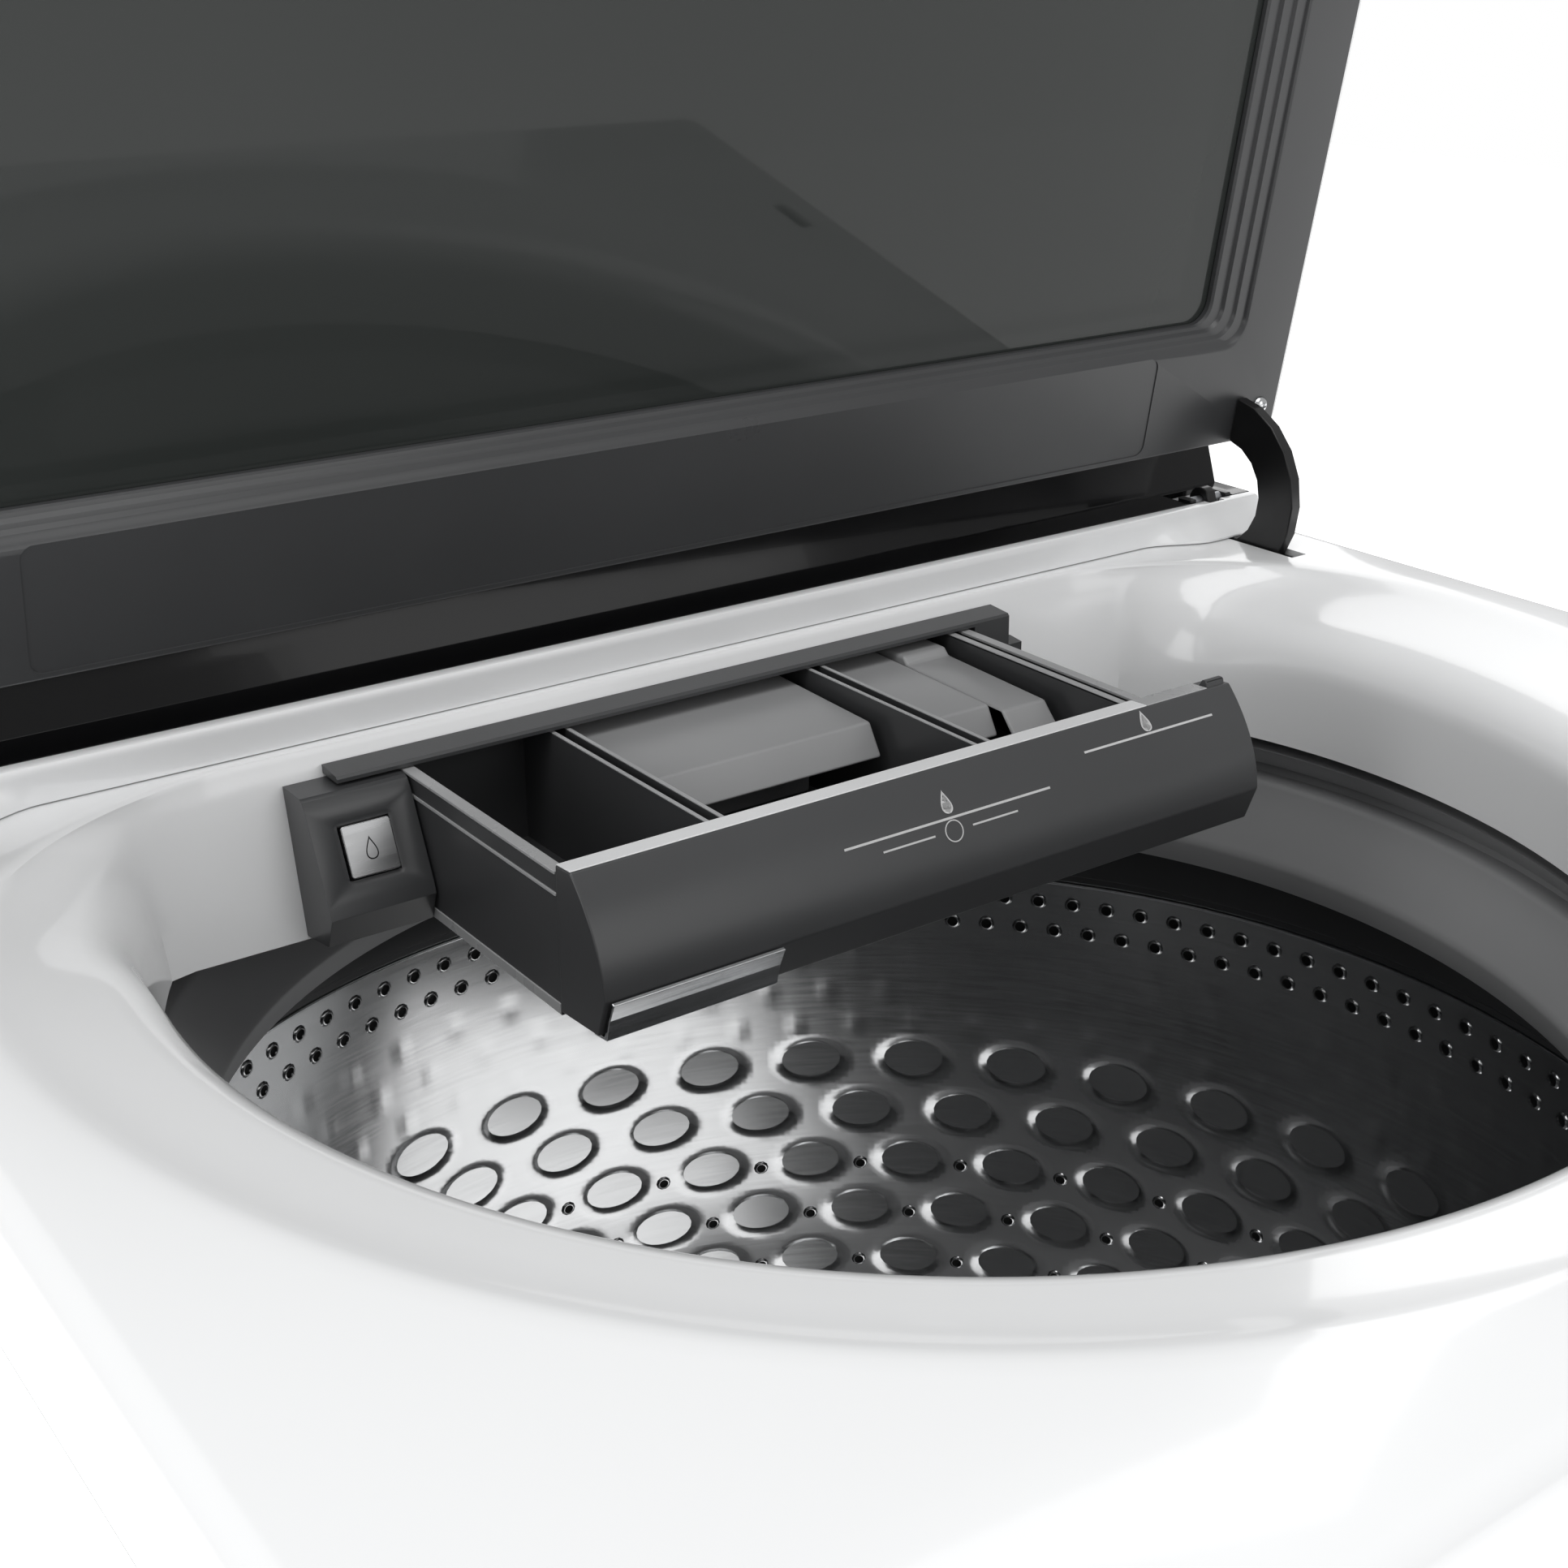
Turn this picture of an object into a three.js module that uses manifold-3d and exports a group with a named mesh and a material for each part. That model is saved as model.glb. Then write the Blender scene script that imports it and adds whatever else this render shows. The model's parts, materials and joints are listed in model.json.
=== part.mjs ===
// Top-load washing machine with its lid open and its dispenser drawer pulled out.
// Millimetres, +Z up. X runs to the right and Y to the rear as a user stands in front of it.
// The origin is on the floor, under the drum's axis, which is the middle of the cabinet.
import * as THREE from "three";
import { mergeVertices } from "three/addons/utils/BufferGeometryUtils.js";
import Module from "manifold-3d";

const wasm = await Module();
wasm.setup();

// ---------- driving dimensions ----------
const WIDTH = 708; // cabinet, side to side
const DEPTH = 712; // cabinet, front to rear
const DECK_Z = 965; // height of the deck, the top of the cabinet

const GAP = 0.4; // between pieces that touch
const RUNNING = 0.5; // radial, round a turning shaft
const SHEET = 1; // painted steel sheet
const ROUND = 48; // sides of the large turned pieces
const MID_ROUND = 28; // sides of the pulleys, the hub and other middling pieces
const SMALL_ROUND = 12; // sides of the small turned pieces

const FOOT_H = 22;
const FOOT_R = 22;
const FOOT_INSET = 34; // cabinet side to the foot's middle
const BASE_H = 34;
const BASE_RAIL = 45;
const CABINET_CORNER = 14;
const GUSSET_DROP = 37; // cabinet's top edge to the gussets that the rods hang from
const GUSSET_T = 3;
const SKIRT_H = 45; // how far the deck's sides come down over the cabinet
const DECK_EDGE = 10; // rounding of the deck's top edge
const DECK_WALL = 3;

// The console stands on the rear of the deck.
const CONSOLE_DEPTH = 201.6;
const CONSOLE_H = 102;
const CONSOLE_INSET = 11; // from the cabinet's side to the console's end
const CONSOLE_WALL = 3;
const STRIP_H = 15; // the white strip along the console's foot
const STRIP_FLARE = 12; // how far the strip's ends come forward at their foot
const STRIP_FLARE_L = 68;
const LEDGE_DEPTH = 29.6; // black ledge behind the strip
const FACE_LEAN = 19.6; // degrees the console's face leans back

// The mouth in the deck, the dish round it and the wall behind it.
const TUB_TO_WALL = 18; // outer tub to cabinet side
const TUB_WALL = 3;
const TUB_TO_BASKET = 8.5;
const BASKET_WALL = 1.5;
const MOUTH_OVERHANG = 53.5; // how far the mouth's lip covers the basket's wall
const MOUTH_DEPTH = 69;
const DISH_WIDTH = 59.5; // mouth's wall to the crease where the flat deck begins
const DISH_CORNER = 135; // radius of the dish's outline at its rear corners
const DISH_FALL = 11;
const LIP_ROUND = 24;
const REAR_WALL_SET = 5; // rear wall's top edge to the console's strip
const REAR_WALL_LEAN = 10.6; // degrees

// Lid, hung from two curved arms.
const HINGE_BACK = 11.6; // hinge axis behind the strip's front face
const HINGE_UP = 13.5; // hinge axis above the deck
const LID_OPEN = 81.3; // degrees; the open lid leans forward a little
const LID_GAP = 3; // closed lid above the deck
const LID_T = 28;
const LID_REAR = 34.2; // hinge axis to the lid's rear edge
const LID_SIDE_INSET = 10;
const LID_FRONT_INSET = 8;
const LID_RIM = 2.2;
const LID_EDGE = 6; // rounding of the outer frame
const LID_STEP = 1.5; // outer frame's rim above the inner frame's face
const GLASS_LAP = 12; // how far the glass runs under the frame round the window
const LID_CORNER = 12;
const GLASS_T = 4;
const WINDOW_SIDE = 53; // lid's side to the window
const WINDOW_REAR = 59;
const WINDOW_FRONT = 46;
const WINDOW_BEVEL = 9;
const ARM_T = 6;
const ARM_IN = 38; // cabinet side to the arm's middle
const ARM_R = 47;
const ARM_BAND = 21.4;
const ARM_CLEAR = 2; // arm's side to its slot
const ARM_SLOT_FRONT = 63; // hinge axis to the slot's ends
const ARM_SLOT_REAR = 24;
const PIN_R = 2.8;

// Dispenser drawer, at rest pulled right out.
const DRAWER_OUT = 125; // rear wall's top edge to the drawer's body
const DRAWER_LEFT_SPACE = 95; // left end of the mouth's rear wall to the drawer's side
const DRAWER_RIGHT_SPACE = 92;
const DRAWER_RIM = 11; // rim below the deck
const DRAWER_BOTTOM = 65;
const DRAWER_WALL = 2.2;
const DRAWER_IN = 11; // length that stays in the housing when the drawer is out
const FRONT_OVER = 35.5; // how far the drawer's front passes its body on the right
const DIVIDER_GAP = 4.4;
const RAIL_W = 11; // the drawer's right rail, with a slot in its top
const GRIP_L = 70;
const BEZEL_OUT = 14.6; // how far the bezel stands out of the rear wall
const BUTTON = 19.6;
const SPOUT_W = 42; // faucet block's width

// Basket, tub and drive, from the floor up.
const DRIVE_SPACE = 269; // base frame's top to the basket's floor
const RING_CLEAR = 6; // mouth's lower edge to the tub ring
const RING_H = 67;
const RING_DROP = 5; // tub ring's foot to the balance ring
const BALANCE_H = 40;
const TUB_UNDER = 35; // basket's floor to the tub's floor
const PLATE_SPACE = 92; // basket's wall to the wash plate
const FINS = 6;
const SHAFT_R = 12;
const HUB_WALL = 9;
const BEARING_OUT = 33;
const BIG_PULLEY_R = 110;
const SMALL_PULLEY_R = 22;
const PULLEY_H = 18;
const BELT_T = 5;
const BELT_CLEAR = 0.5;
const BELT_H = 10;
const MOTOR_R = 66;
const MOTOR_AWAY = 205; // motor's axis from the drum's axis
const ROD_R = 4;
const ROD_IN = 70; // cabinet side to the suspension rod
const SPRING_R = 15;
const SEAT_T = 12; // foot of a suspension rod, under its spring
const SPRING_H = 68;
const OUTLET_IN = 140; // cabinet side to the drain outlet, and to the cord gland on the other side
const OUTLET_R = 19;
const OUTLET_WALL = 5;
const GLAND_R = 9;
const GLAND_WALL = 5;
const HOSE_R = 11;
const HOSE_BACK = 58; // drain hose's riser to the rear panel

// ---------- finishes ----------
const paint = (color, roughness, metalness) => () =>
  new THREE.MeshStandardMaterial({ color, roughness, metalness });
const WHITE = paint(0xf2f3f4, 0.22, 0);
const GREY = paint(0x4a4b4d, 0.5, 0);
const LIGHT_GREY = paint(0x8b8c8e, 0.45, 0);
const BLACK = paint(0x0d0d0e, 0.2, 0);
const RUBBER = paint(0x1c1c1c, 0.85, 0);
const STEEL = paint(0xb9bcc0, 0.22, 1);
const ZINC = paint(0x9aa0a6, 0.4, 1);
const CHROME = paint(0xdcdfe3, 0.08, 1);
const GLASS = paint(0x3a3f3d, 0.06, 0);
const RESIN = paint(0xdfe0dd, 0.5, 0);
const BOARD = paint(0x1e5a37, 0.6, 0);

// ---------- places that several pieces share ----------
const HALF_W = WIDTH / 2;
const HALF_D = DEPTH / 2;
const PANEL_Y = HALF_D - SHEET - GAP - SHEET; // rear panel's inner face
const deck = (z) => DECK_Z + z;
const STRIP_Y = HALF_D - CONSOLE_DEPTH;
const REAR_TOP_Y = STRIP_Y - REAR_WALL_SET;
const LEAN = Math.tan((REAR_WALL_LEAN * Math.PI) / 180);
const rearWallY = (z) => REAR_TOP_Y + z * LEAN; // z is below the deck, so negative
const TUB_R = Math.min(HALF_W, HALF_D) - SHEET - TUB_TO_WALL; // outside
const BASKET_R = TUB_R - TUB_WALL - TUB_TO_BASKET; // outside
const MOUTH_R = BASKET_R - BASKET_WALL - MOUTH_OVERHANG;
const DISH_R = MOUTH_R + DISH_WIDTH;
const CHORD = Math.sqrt(MOUTH_R ** 2 - rearWallY(-MOUTH_DEPTH) ** 2);
const DRAWER_X0 = -CHORD + DRAWER_LEFT_SPACE;
const DRAWER_X1 = CHORD - DRAWER_RIGHT_SPACE;
const DRAWER_Y0 = rearWallY(0) - DRAWER_OUT; // front of the drawer's body, pulled out
const DRAWER_Y1 = rearWallY(0) + DRAWER_IN;
const SLOT_CLEAR = 3; // drawer's body to the slot it slides in
const HINGE_Y = STRIP_Y + HINGE_BACK;
const HINGE_Z = deck(HINGE_UP);
const ARM_X = HALF_W - ARM_IN;
const CONSOLE_X = HALF_W - CONSOLE_INSET;
const FACE_Y = STRIP_Y + LEDGE_DEPTH;
const BASKET_FLOOR = FOOT_H + BASE_H + DRIVE_SPACE;
const TUB_FLOOR = BASKET_FLOOR - TUB_UNDER;
const RING_TOP = MOUTH_DEPTH + RING_CLEAR; // tub ring's top edge below the deck
const BASKET_TOP = deck(-RING_TOP - RING_H - RING_DROP - BALANCE_H);
const ROD_X = HALF_W - ROD_IN;
const ROD_Y = HALF_D - ROD_IN;
const ROD_BOTTOM = TUB_FLOOR - 60;
const EAR_Z = ROD_BOTTOM + SEAT_T + GAP + SPRING_H + GAP;
const PULLEY_Z = TUB_FLOOR - 115; // bottom of both pulleys
const LID_LENGTH = HINGE_Y + HALF_D - LID_FRONT_INSET - LID_REAR;
const LID_X = HALF_W - LID_SIDE_INSET;

// ---------- shape helpers ----------
function closed(geometry) {
  const g = geometry.clone();
  for (const name of ["normal", "uv"]) g.deleteAttribute(name);
  return mergeVertices(g, 1e-4);
}

// A closed geometry as a solid, its faces turned out.
function solid(geometry) {
  const g = closed(geometry);
  const index = Array.from(g.index.array);
  const kept = [];
  for (let i = 0; i < index.length; i += 3) {
    const [a, b, c] = index.slice(i, i + 3);
    if (a !== b && b !== c && c !== a) kept.push(a, b, c);
  }
  const build = (triangles) =>
    new wasm.Manifold(
      new wasm.Mesh({
        numProp: 3,
        vertProperties: new Float32Array(g.attributes.position.array),
        triVerts: new Uint32Array(triangles),
      }),
    );
  const made = build(kept);
  return made.volume() >= 0 ? made : build(kept.reverse());
}

function geometryOf(made) {
  const m = made.getMesh();
  const position = new Float32Array(m.numVert * 3);
  for (let i = 0; i < m.numVert; i++)
    position.set(m.vertProperties.subarray(i * m.numProp, i * m.numProp + 3), i * 3);
  const g = new THREE.BufferGeometry();
  g.setAttribute("position", new THREE.BufferAttribute(position, 3));
  g.setIndex(new THREE.BufferAttribute(new Uint32Array(m.triVerts), 1));
  const flat = g.toNonIndexed();
  flat.computeVertexNormals();
  return flat;
}

const join = (...pieces) => pieces.reduce((a, b) => a.add(b));
const cut = (from, ...pieces) => pieces.reduce((a, b) => a.subtract(b), from);

function box(x0, x1, y0, y1, z0, z1) {
  const g = new THREE.BoxGeometry(x1 - x0, y1 - y0, z1 - z0);
  return solid(g.translate((x0 + x1) / 2, (y0 + y1) / 2, (z0 + z1) / 2));
}

function outline(points) {
  return new THREE.Shape(points.map(([u, v]) => new THREE.Vector2(u, v)));
}

function extruded(shape, length, bevel = 0, curveSegments = 4) {
  return new THREE.ExtrudeGeometry(shape, {
    depth: length - 2 * bevel,
    bevelEnabled: bevel > 0,
    bevelThickness: bevel,
    bevelSize: bevel,
    bevelOffset: -bevel,
    bevelSegments: 2,
    curveSegments,
  }).translate(0, 0, bevel);
}

// An outline in (x, y), raised from z0 to z1.
const upright = (shape, z0, z1, bevel, curveSegments) =>
  solid(extruded(shape, z1 - z0, bevel, curveSegments).translate(0, 0, z0));

// An outline in (y, z), drawn out from x0 to x1.
function across(shape, x0, x1, bevel, curveSegments) {
  const turn = new THREE.Matrix4().set(0, 0, 1, x0, 1, 0, 0, 0, 0, 1, 0, 0, 0, 0, 0, 1);
  return solid(extruded(shape, x1 - x0, bevel, curveSegments).applyMatrix4(turn));
}

function roundedRect(x0, x1, y0, y1, r) {
  const s = new THREE.Shape();
  const q = Math.PI / 2;
  s.moveTo(x0 + r, y0);
  s.lineTo(x1 - r, y0).absarc(x1 - r, y0 + r, r, -q, 0);
  s.lineTo(x1, y1 - r).absarc(x1 - r, y1 - r, r, 0, q);
  s.lineTo(x0 + r, y1).absarc(x0 + r, y1 - r, r, q, 2 * q);
  s.lineTo(x0, y0 + r).absarc(x0 + r, y0 + r, r, 2 * q, 3 * q);
  return s;
}

// A profile of (radius, z) turned about the vertical axis.
function turned(profile, sides = ROUND) {
  const points = [...profile, profile[0]].map(([r, z]) => new THREE.Vector2(r, z));
  return solid(new THREE.LatheGeometry(points, sides).rotateX(Math.PI / 2));
}

const disc = (r, z0, z1, sides = SMALL_ROUND) =>
  turned([[0, z0], [r, z0], [r, z1], [0, z1]], sides);
const tube = (r0, r1, z0, z1, sides = SMALL_ROUND) =>
  turned([[r0, z0], [r1, z0], [r1, z1], [r0, z1]], sides);

// A cylinder along X.
const pinX = (r, x0, x1, y, z) =>
  across(new THREE.Shape().absarc(y, z, r, 0, 2 * Math.PI), x0, x1);

// A cylinder along Y.
const pinY = (r, y0, y1, x, z) =>
  disc(r, y0, y1).rotate([-90, 0, 0]).translate([x, 0, z]);

const part = new THREE.Group();
part.name = "washing_machine";

function add(name, made, finish, group = part) {
  const mesh = new THREE.Mesh(geometryOf(made), finish());
  mesh.name = name;
  group.add(mesh);
}

// ---------- cabinet ----------
function cabinetShell() {
  const flange = 18;
  const r = CABINET_CORNER;
  const q = Math.PI / 2;
  const s = new THREE.Shape();
  const [x, y, xi, yi] = [HALF_W, HALF_D, HALF_W - SHEET, HALF_D - SHEET];
  s.moveTo(-x + flange, y).lineTo(-x, y).lineTo(-x, -y + r);
  s.absarc(-x + r, -y + r, r, 2 * q, 3 * q).lineTo(x - r, -y);
  s.absarc(x - r, -y + r, r, -q, 0).lineTo(x, y).lineTo(x - flange, y);
  s.lineTo(x - flange, yi).lineTo(xi, yi).lineTo(xi, -y + r);
  s.absarc(x - r, -y + r, r - SHEET, 0, -q, true).lineTo(-x + r, -yi);
  s.absarc(-x + r, -y + r, r - SHEET, -q, -2 * q, true).lineTo(-xi, yi);
  s.lineTo(-x + flange, yi);
  const top = deck(-SKIRT_H - GAP);
  const shell = upright(s, FOOT_H, top);
  const gussets = [];
  const holes = [];
  for (const [sx, sy] of [[-1, -1], [1, -1], [-1, 1], [1, 1]]) {
    const reach = ROD_IN + 26;
    const corner = sy < 0 ? CABINET_CORNER : HALF_D - PANEL_Y + GAP;
    const plate = outline([
      [sx * (x - SHEET / 2), sy * (y - corner)],
      [sx * (x - reach), sy * (y - corner)],
      [sx * (x - reach), sy * (y - reach / 2)],
      [sx * (x - reach / 2), sy * (y - reach)],
      [sx * (x - SHEET / 2), sy * (y - reach)],
    ]);
    gussets.push(upright(plate, top - GUSSET_DROP - GUSSET_T, top - GUSSET_DROP));
    holes.push(disc(ROD_R + RUNNING, 0, top).translate([sx * ROD_X, sy * ROD_Y, 0]));
  }
  add("cabinet_shell", cut(join(shell, ...gussets), ...holes), WHITE);
}

const OUTLET_X = -HALF_W + OUTLET_IN;
const OUTLET_Z = deck(-104);

function rearPanel() {
  const x = HALF_W - SHEET - GAP;
  const plate = box(-x, x, PANEL_Y, PANEL_Y + SHEET, FOOT_H + BASE_H, deck(-SKIRT_H - GAP));
  const outlet = pinY(OUTLET_R + 1, PANEL_Y - 5, HALF_D, OUTLET_X, OUTLET_Z);
  const gland = pinY(GLAND_R + RUNNING, PANEL_Y - 5, HALF_D, -OUTLET_X, OUTLET_Z);
  add("rear_panel", cut(plate, outlet, gland), ZINC);
  const ring = pinY(OUTLET_R + 3, PANEL_Y + SHEET + GAP, HALF_D - 0.2, OUTLET_X, OUTLET_Z);
  const neck = pinY(OUTLET_R, PANEL_Y - 26, HALF_D - 0.2, OUTLET_X, OUTLET_Z);
  const bore = pinY(OUTLET_R - OUTLET_WALL, PANEL_Y - 27, HALF_D, OUTLET_X, OUTLET_Z);
  add("drain_outlet", cut(join(ring, neck), bore), BLACK);
  const bush = pinY(GLAND_R, PANEL_Y - 8, HALF_D - 0.2, -OUTLET_X, OUTLET_Z);
  const collar = pinY(GLAND_R + 4, PANEL_Y - 4, PANEL_Y - GAP, -OUTLET_X, OUTLET_Z);
  const hole = pinY(GLAND_R - GLAND_WALL, PANEL_Y - 9, HALF_D, -OUTLET_X, OUTLET_Z);
  add("cord_gland", cut(join(bush, collar), hole), BLACK);
}

function baseFrame() {
  const x = HALF_W - SHEET - GAP;
  const [y0, y1] = [-HALF_D + CABINET_CORNER, PANEL_Y - GAP];
  const t = 2;
  const inner = box(-x + t, x - t, y0 + t, y1 - t, FOOT_H + t, FOOT_H + BASE_H);
  const hole = box(-x + BASE_RAIL, x - BASE_RAIL, y0 + BASE_RAIL, y1 - BASE_RAIL, 0, DECK_Z);
  add("base_frame", cut(box(-x, x, y0, y1, FOOT_H, FOOT_H + BASE_H - 1), inner, hole), ZINC);
}

function feet() {
  for (const [side, sx] of [["left", -1], ["right", 1]])
    for (const [end, sy] of [["front", -1], ["rear", 1]]) {
      const pad = [[0, 0], [FOOT_R - 2, 0], [FOOT_R, 3], [FOOT_R, 7], [14, 11]];
      const stem = [[7, 11], [7, FOOT_H - GAP], [0, FOOT_H - GAP]];
      const foot = turned([...pad, ...stem], SMALL_ROUND);
      const at = [sx * (HALF_W - FOOT_INSET), sy * (HALF_D - FOOT_INSET), 0];
      add(`foot_${end}_${side}`, foot.translate(at), RUBBER);
    }
}

// ---------- deck ----------
// Profile of the dish and mouth, moved outwards by `wall`, from the axis out.
function mouthProfile(wall) {
  const arc = [];
  const steps = 6;
  for (let i = 0; i <= steps; i++) {
    const a = (i / steps) * (Math.PI / 2 - 0.2);
    const r = MOUTH_R + wall + LIP_ROUND * (1 - Math.cos(a));
    const z = -DISH_FALL - LIP_ROUND + LIP_ROUND * Math.sin(a) - wall;
    arc.push([r, z]);
  }
  return arc.concat([[DISH_R + wall, -wall]]);
}

// Plan of the crease round the dish: a circle, rounded in to the rear wall at both corners.
function creaseOutline(wall) {
  const r = DISH_CORNER;
  const y = REAR_TOP_Y - r;
  const x = Math.sqrt((DISH_R - r) ** 2 - y ** 2);
  const a = Math.atan2(y, x);
  const s = new THREE.Shape();
  s.absarc(0, 0, DISH_R + wall, a, Math.PI - a, true);
  s.absarc(-x, y, r + wall, Math.PI - a, Math.PI / 2, true);
  s.absarc(x, y, r + wall, Math.PI / 2, a, true);
  return s;
}

function mouthRegion(wall, top, bottom) {
  const line = mouthProfile(wall);
  const profile = [[0, bottom], [MOUTH_R + wall, bottom], ...line, [DISH_R + wall, top], [0, top]];
  const round = turned(profile).translate([0, 0, DECK_Z]);
  const far = WIDTH + DEPTH;
  const back = (z) => rearWallY(z) + wall;
  const front = across(
    outline([[-far, bottom - 1], [back(bottom - 1), bottom - 1], [back(top), top], [-far, top]]),
    -far,
    far,
  ).translate([0, 0, DECK_Z]);
  const crease = upright(creaseOutline(wall), deck(bottom - 1), deck(top + 1), 0, 12);
  return round.intersect(front).intersect(crease);
}

const armSlot = (sx, z0, z1) => {
  const half = ARM_T / 2 + ARM_CLEAR;
  const [y0, y1] = [HINGE_Y - ARM_SLOT_FRONT, HINGE_Y + ARM_SLOT_REAR];
  return box(sx * ARM_X - half, sx * ARM_X + half, y0, y1, z0, z1);
};
const SLOT_X0 = DRAWER_X0 - SLOT_CLEAR;
const SLOT_X1 = DRAWER_X1 + SLOT_CLEAR;
const LOCK_X = HALF_W - 29;
const LOCK_Y = -HALF_D + 156;

function topDeck() {
  const outer = roundedRect(-HALF_W, HALF_W, -HALF_D, HALF_D, CABINET_CORNER);
  const t = DECK_WALL;
  const block = upright(outer, deck(-SKIRT_H - DECK_EDGE), DECK_Z, DECK_EDGE);
  const under = box(-WIDTH, WIDTH, -DEPTH, DEPTH, 0, deck(-SKIRT_H));
  const hollowPlan = roundedRect(
    -HALF_W + t, HALF_W - t, -HALF_D + t, HALF_D - t, CABINET_CORNER - t,
  );
  const hollow = upright(hollowPlan, deck(-2 * SKIRT_H), deck(-t), DECK_EDGE - t);
  const shell = cut(block, under, hollow);
  const bowl = mouthRegion(t, 0, -MOUTH_DEPTH).intersect(
    box(-WIDTH, WIDTH, -DEPTH, DEPTH, 0, deck(-t / 2)),
  );
  const open = mouthRegion(0, 30, -MOUTH_DEPTH - 5);
  const drawerSlot = box(
    SLOT_X0, SLOT_X1, 0, STRIP_Y + 10, deck(-DRAWER_BOTTOM - SLOT_CLEAR), deck(-DRAWER_RIM + 2.5),
  );
  const lock = box(LOCK_X - 5, LOCK_X + 5, LOCK_Y - 16, LOCK_Y + 16, deck(-9), deck(1));
  const arms = [-1, 1].map((sx) => armSlot(sx, deck(-9), deck(1)));
  add("top_deck", cut(join(shell, bowl), open, drawerSlot, lock, ...arms), WHITE);
}

// ---------- console ----------
const FACE = Math.tan((FACE_LEAN * Math.PI) / 180);
const faceY = (z) => FACE_Y + (z - STRIP_H) * FACE;
const HINGE_BOX = 15; // half-width of the cut-out for a hinge bracket

function consoleStrip() {
  const [y, h, t] = [STRIP_Y, STRIP_H, 2.6];
  const bar = across(
    outline([[y, GAP], [y, h - 2], [y + 2, h], [y + 6, h], [y + 6, h - t], [y + t, h - t - 1], [y + t, GAP]]),
    -CONSOLE_X,
    CONSOLE_X,
  );
  const foot = outline([
    [y - STRIP_FLARE, GAP], [y - STRIP_FLARE, 1.6], [y, h - 3], [y + 1, h - 3], [y + 1, GAP],
  ]);
  const pieces = [];
  const notches = [];
  for (const sx of [-1, 1]) {
    const wedge = across(foot, CONSOLE_X - STRIP_FLARE_L, CONSOLE_X, 0);
    pieces.push(sx > 0 ? wedge : wedge.mirror([1, 0, 0]));
    const half = ARM_T / 2 + ARM_CLEAR;
    notches.push(box(sx * ARM_X - half, sx * ARM_X + half, y - 20, y + 20, -1, 6.5));
    notches.push(box(sx * ARM_X - half, sx * ARM_X + half, y + t, y + 20, 6, h + 1));
  }
  const strip = cut(join(bar, ...pieces), ...notches).translate([0, 0, DECK_Z]);
  add("console_strip", join(strip, hingeMount(-1), hingeMount(1)), WHITE);
}

// Two cheeks behind the strip that hold the hinge pin of one lid arm.
function hingeMount(sx) {
  const x = sx * ARM_X;
  const out = HINGE_BOX - 1;
  const cheek = 4;
  const [y0, y1] = [HINGE_Y - 5, HINGE_Y + 5];
  const cheeks = [x - out, x + out - cheek].map((a) =>
    box(a, a + cheek, y0, y1, deck(GAP), deck(HINGE_UP + 5)),
  );
  const floor = box(x - out, x + out, STRIP_Y + 1, y1, deck(GAP), deck(3));
  const pin = pinX(PIN_R, x - out + 1, x + out - 1, HINGE_Y, HINGE_Z);
  return join(cut(join(floor, ...cheeks), armSlot(sx, deck(-1), deck(5))), pin);
}

const KNOB_X = CONSOLE_X / 2;
const KNOB_R = 26;
const CONTROL_UP = 45; // controls' middle, up the console's face from the ledge
const BUTTON_R = 8;
const START_X = KNOB_X + 70;
const POWER_X = KNOB_X - 70;

// Moves a solid that stands on z = 0, pointing up, onto the console's face at x.
const onFace = (made, x) =>
  made
    .rotate([90 - FACE_LEAN, 0, 0])
    .translate([x, faceY(STRIP_H + CONTROL_UP), deck(STRIP_H + CONTROL_UP)]);

function consoleFascia() {
  const t = CONSOLE_WALL;
  const top = CONSOLE_H;
  const shape = outline([
    [STRIP_Y + 6 + GAP, STRIP_H - t], [STRIP_Y + 6 + GAP, STRIP_H], [FACE_Y, STRIP_H],
    [faceY(top), top], [faceY(top) + t, top], [FACE_Y + t, STRIP_H - t],
  ]);
  const plate = across(shape, -CONSOLE_X, CONSOLE_X).translate([0, 0, DECK_Z]);
  const cuts = [
    onFace(disc(5, -10, 10), KNOB_X),
    onFace(disc(BUTTON_R + RUNNING, -10, 10), POWER_X),
    onFace(disc(BUTTON_R + RUNNING, -10, 10), START_X),
  ];
  for (const sx of [-1, 1])
    cuts.push(box(
      sx * ARM_X - HINGE_BOX, sx * ARM_X + HINGE_BOX,
      STRIP_Y, FACE_Y - 4, deck(STRIP_H - 5), deck(STRIP_H + 5),
    ));
  add("console_fascia", cut(plate, ...cuts), BLACK);
}

function consoleHousing() {
  const t = CONSOLE_WALL;
  const x = CONSOLE_X;
  const gap = t + GAP + 0.4;
  const back = HALF_D - 0.5;
  const outer = (d) => outline([
    [FACE_Y + gap + d, d ? -5 : GAP], [FACE_Y + gap + d, STRIP_H - t],
    [faceY(CONSOLE_H) + gap + d, CONSOLE_H - d],
    [faceY(CONSOLE_H) + gap + 6, CONSOLE_H + 2 - d], [back - 12, CONSOLE_H + 2 - d],
    [back - d, CONSOLE_H - 10 - d], [back - d, d ? -5 : GAP],
  ]);
  const shell = cut(across(outer(0), -x, x), across(outer(t), -x + t, x - t)).translate([0, 0, DECK_Z]);
  const cuts = [
    onFace(disc(5, -40, 10), KNOB_X),
    onFace(disc(BUTTON_R + 1, -40, 10), POWER_X),
    onFace(disc(BUTTON_R + 1, -40, 10), START_X),
    box(x - 120, x - 20, HALF_D - 8, HALF_D, deck(14), deck(62)),
  ];
  add("console_housing", cut(shell, ...cuts), WHITE);
}

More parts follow.
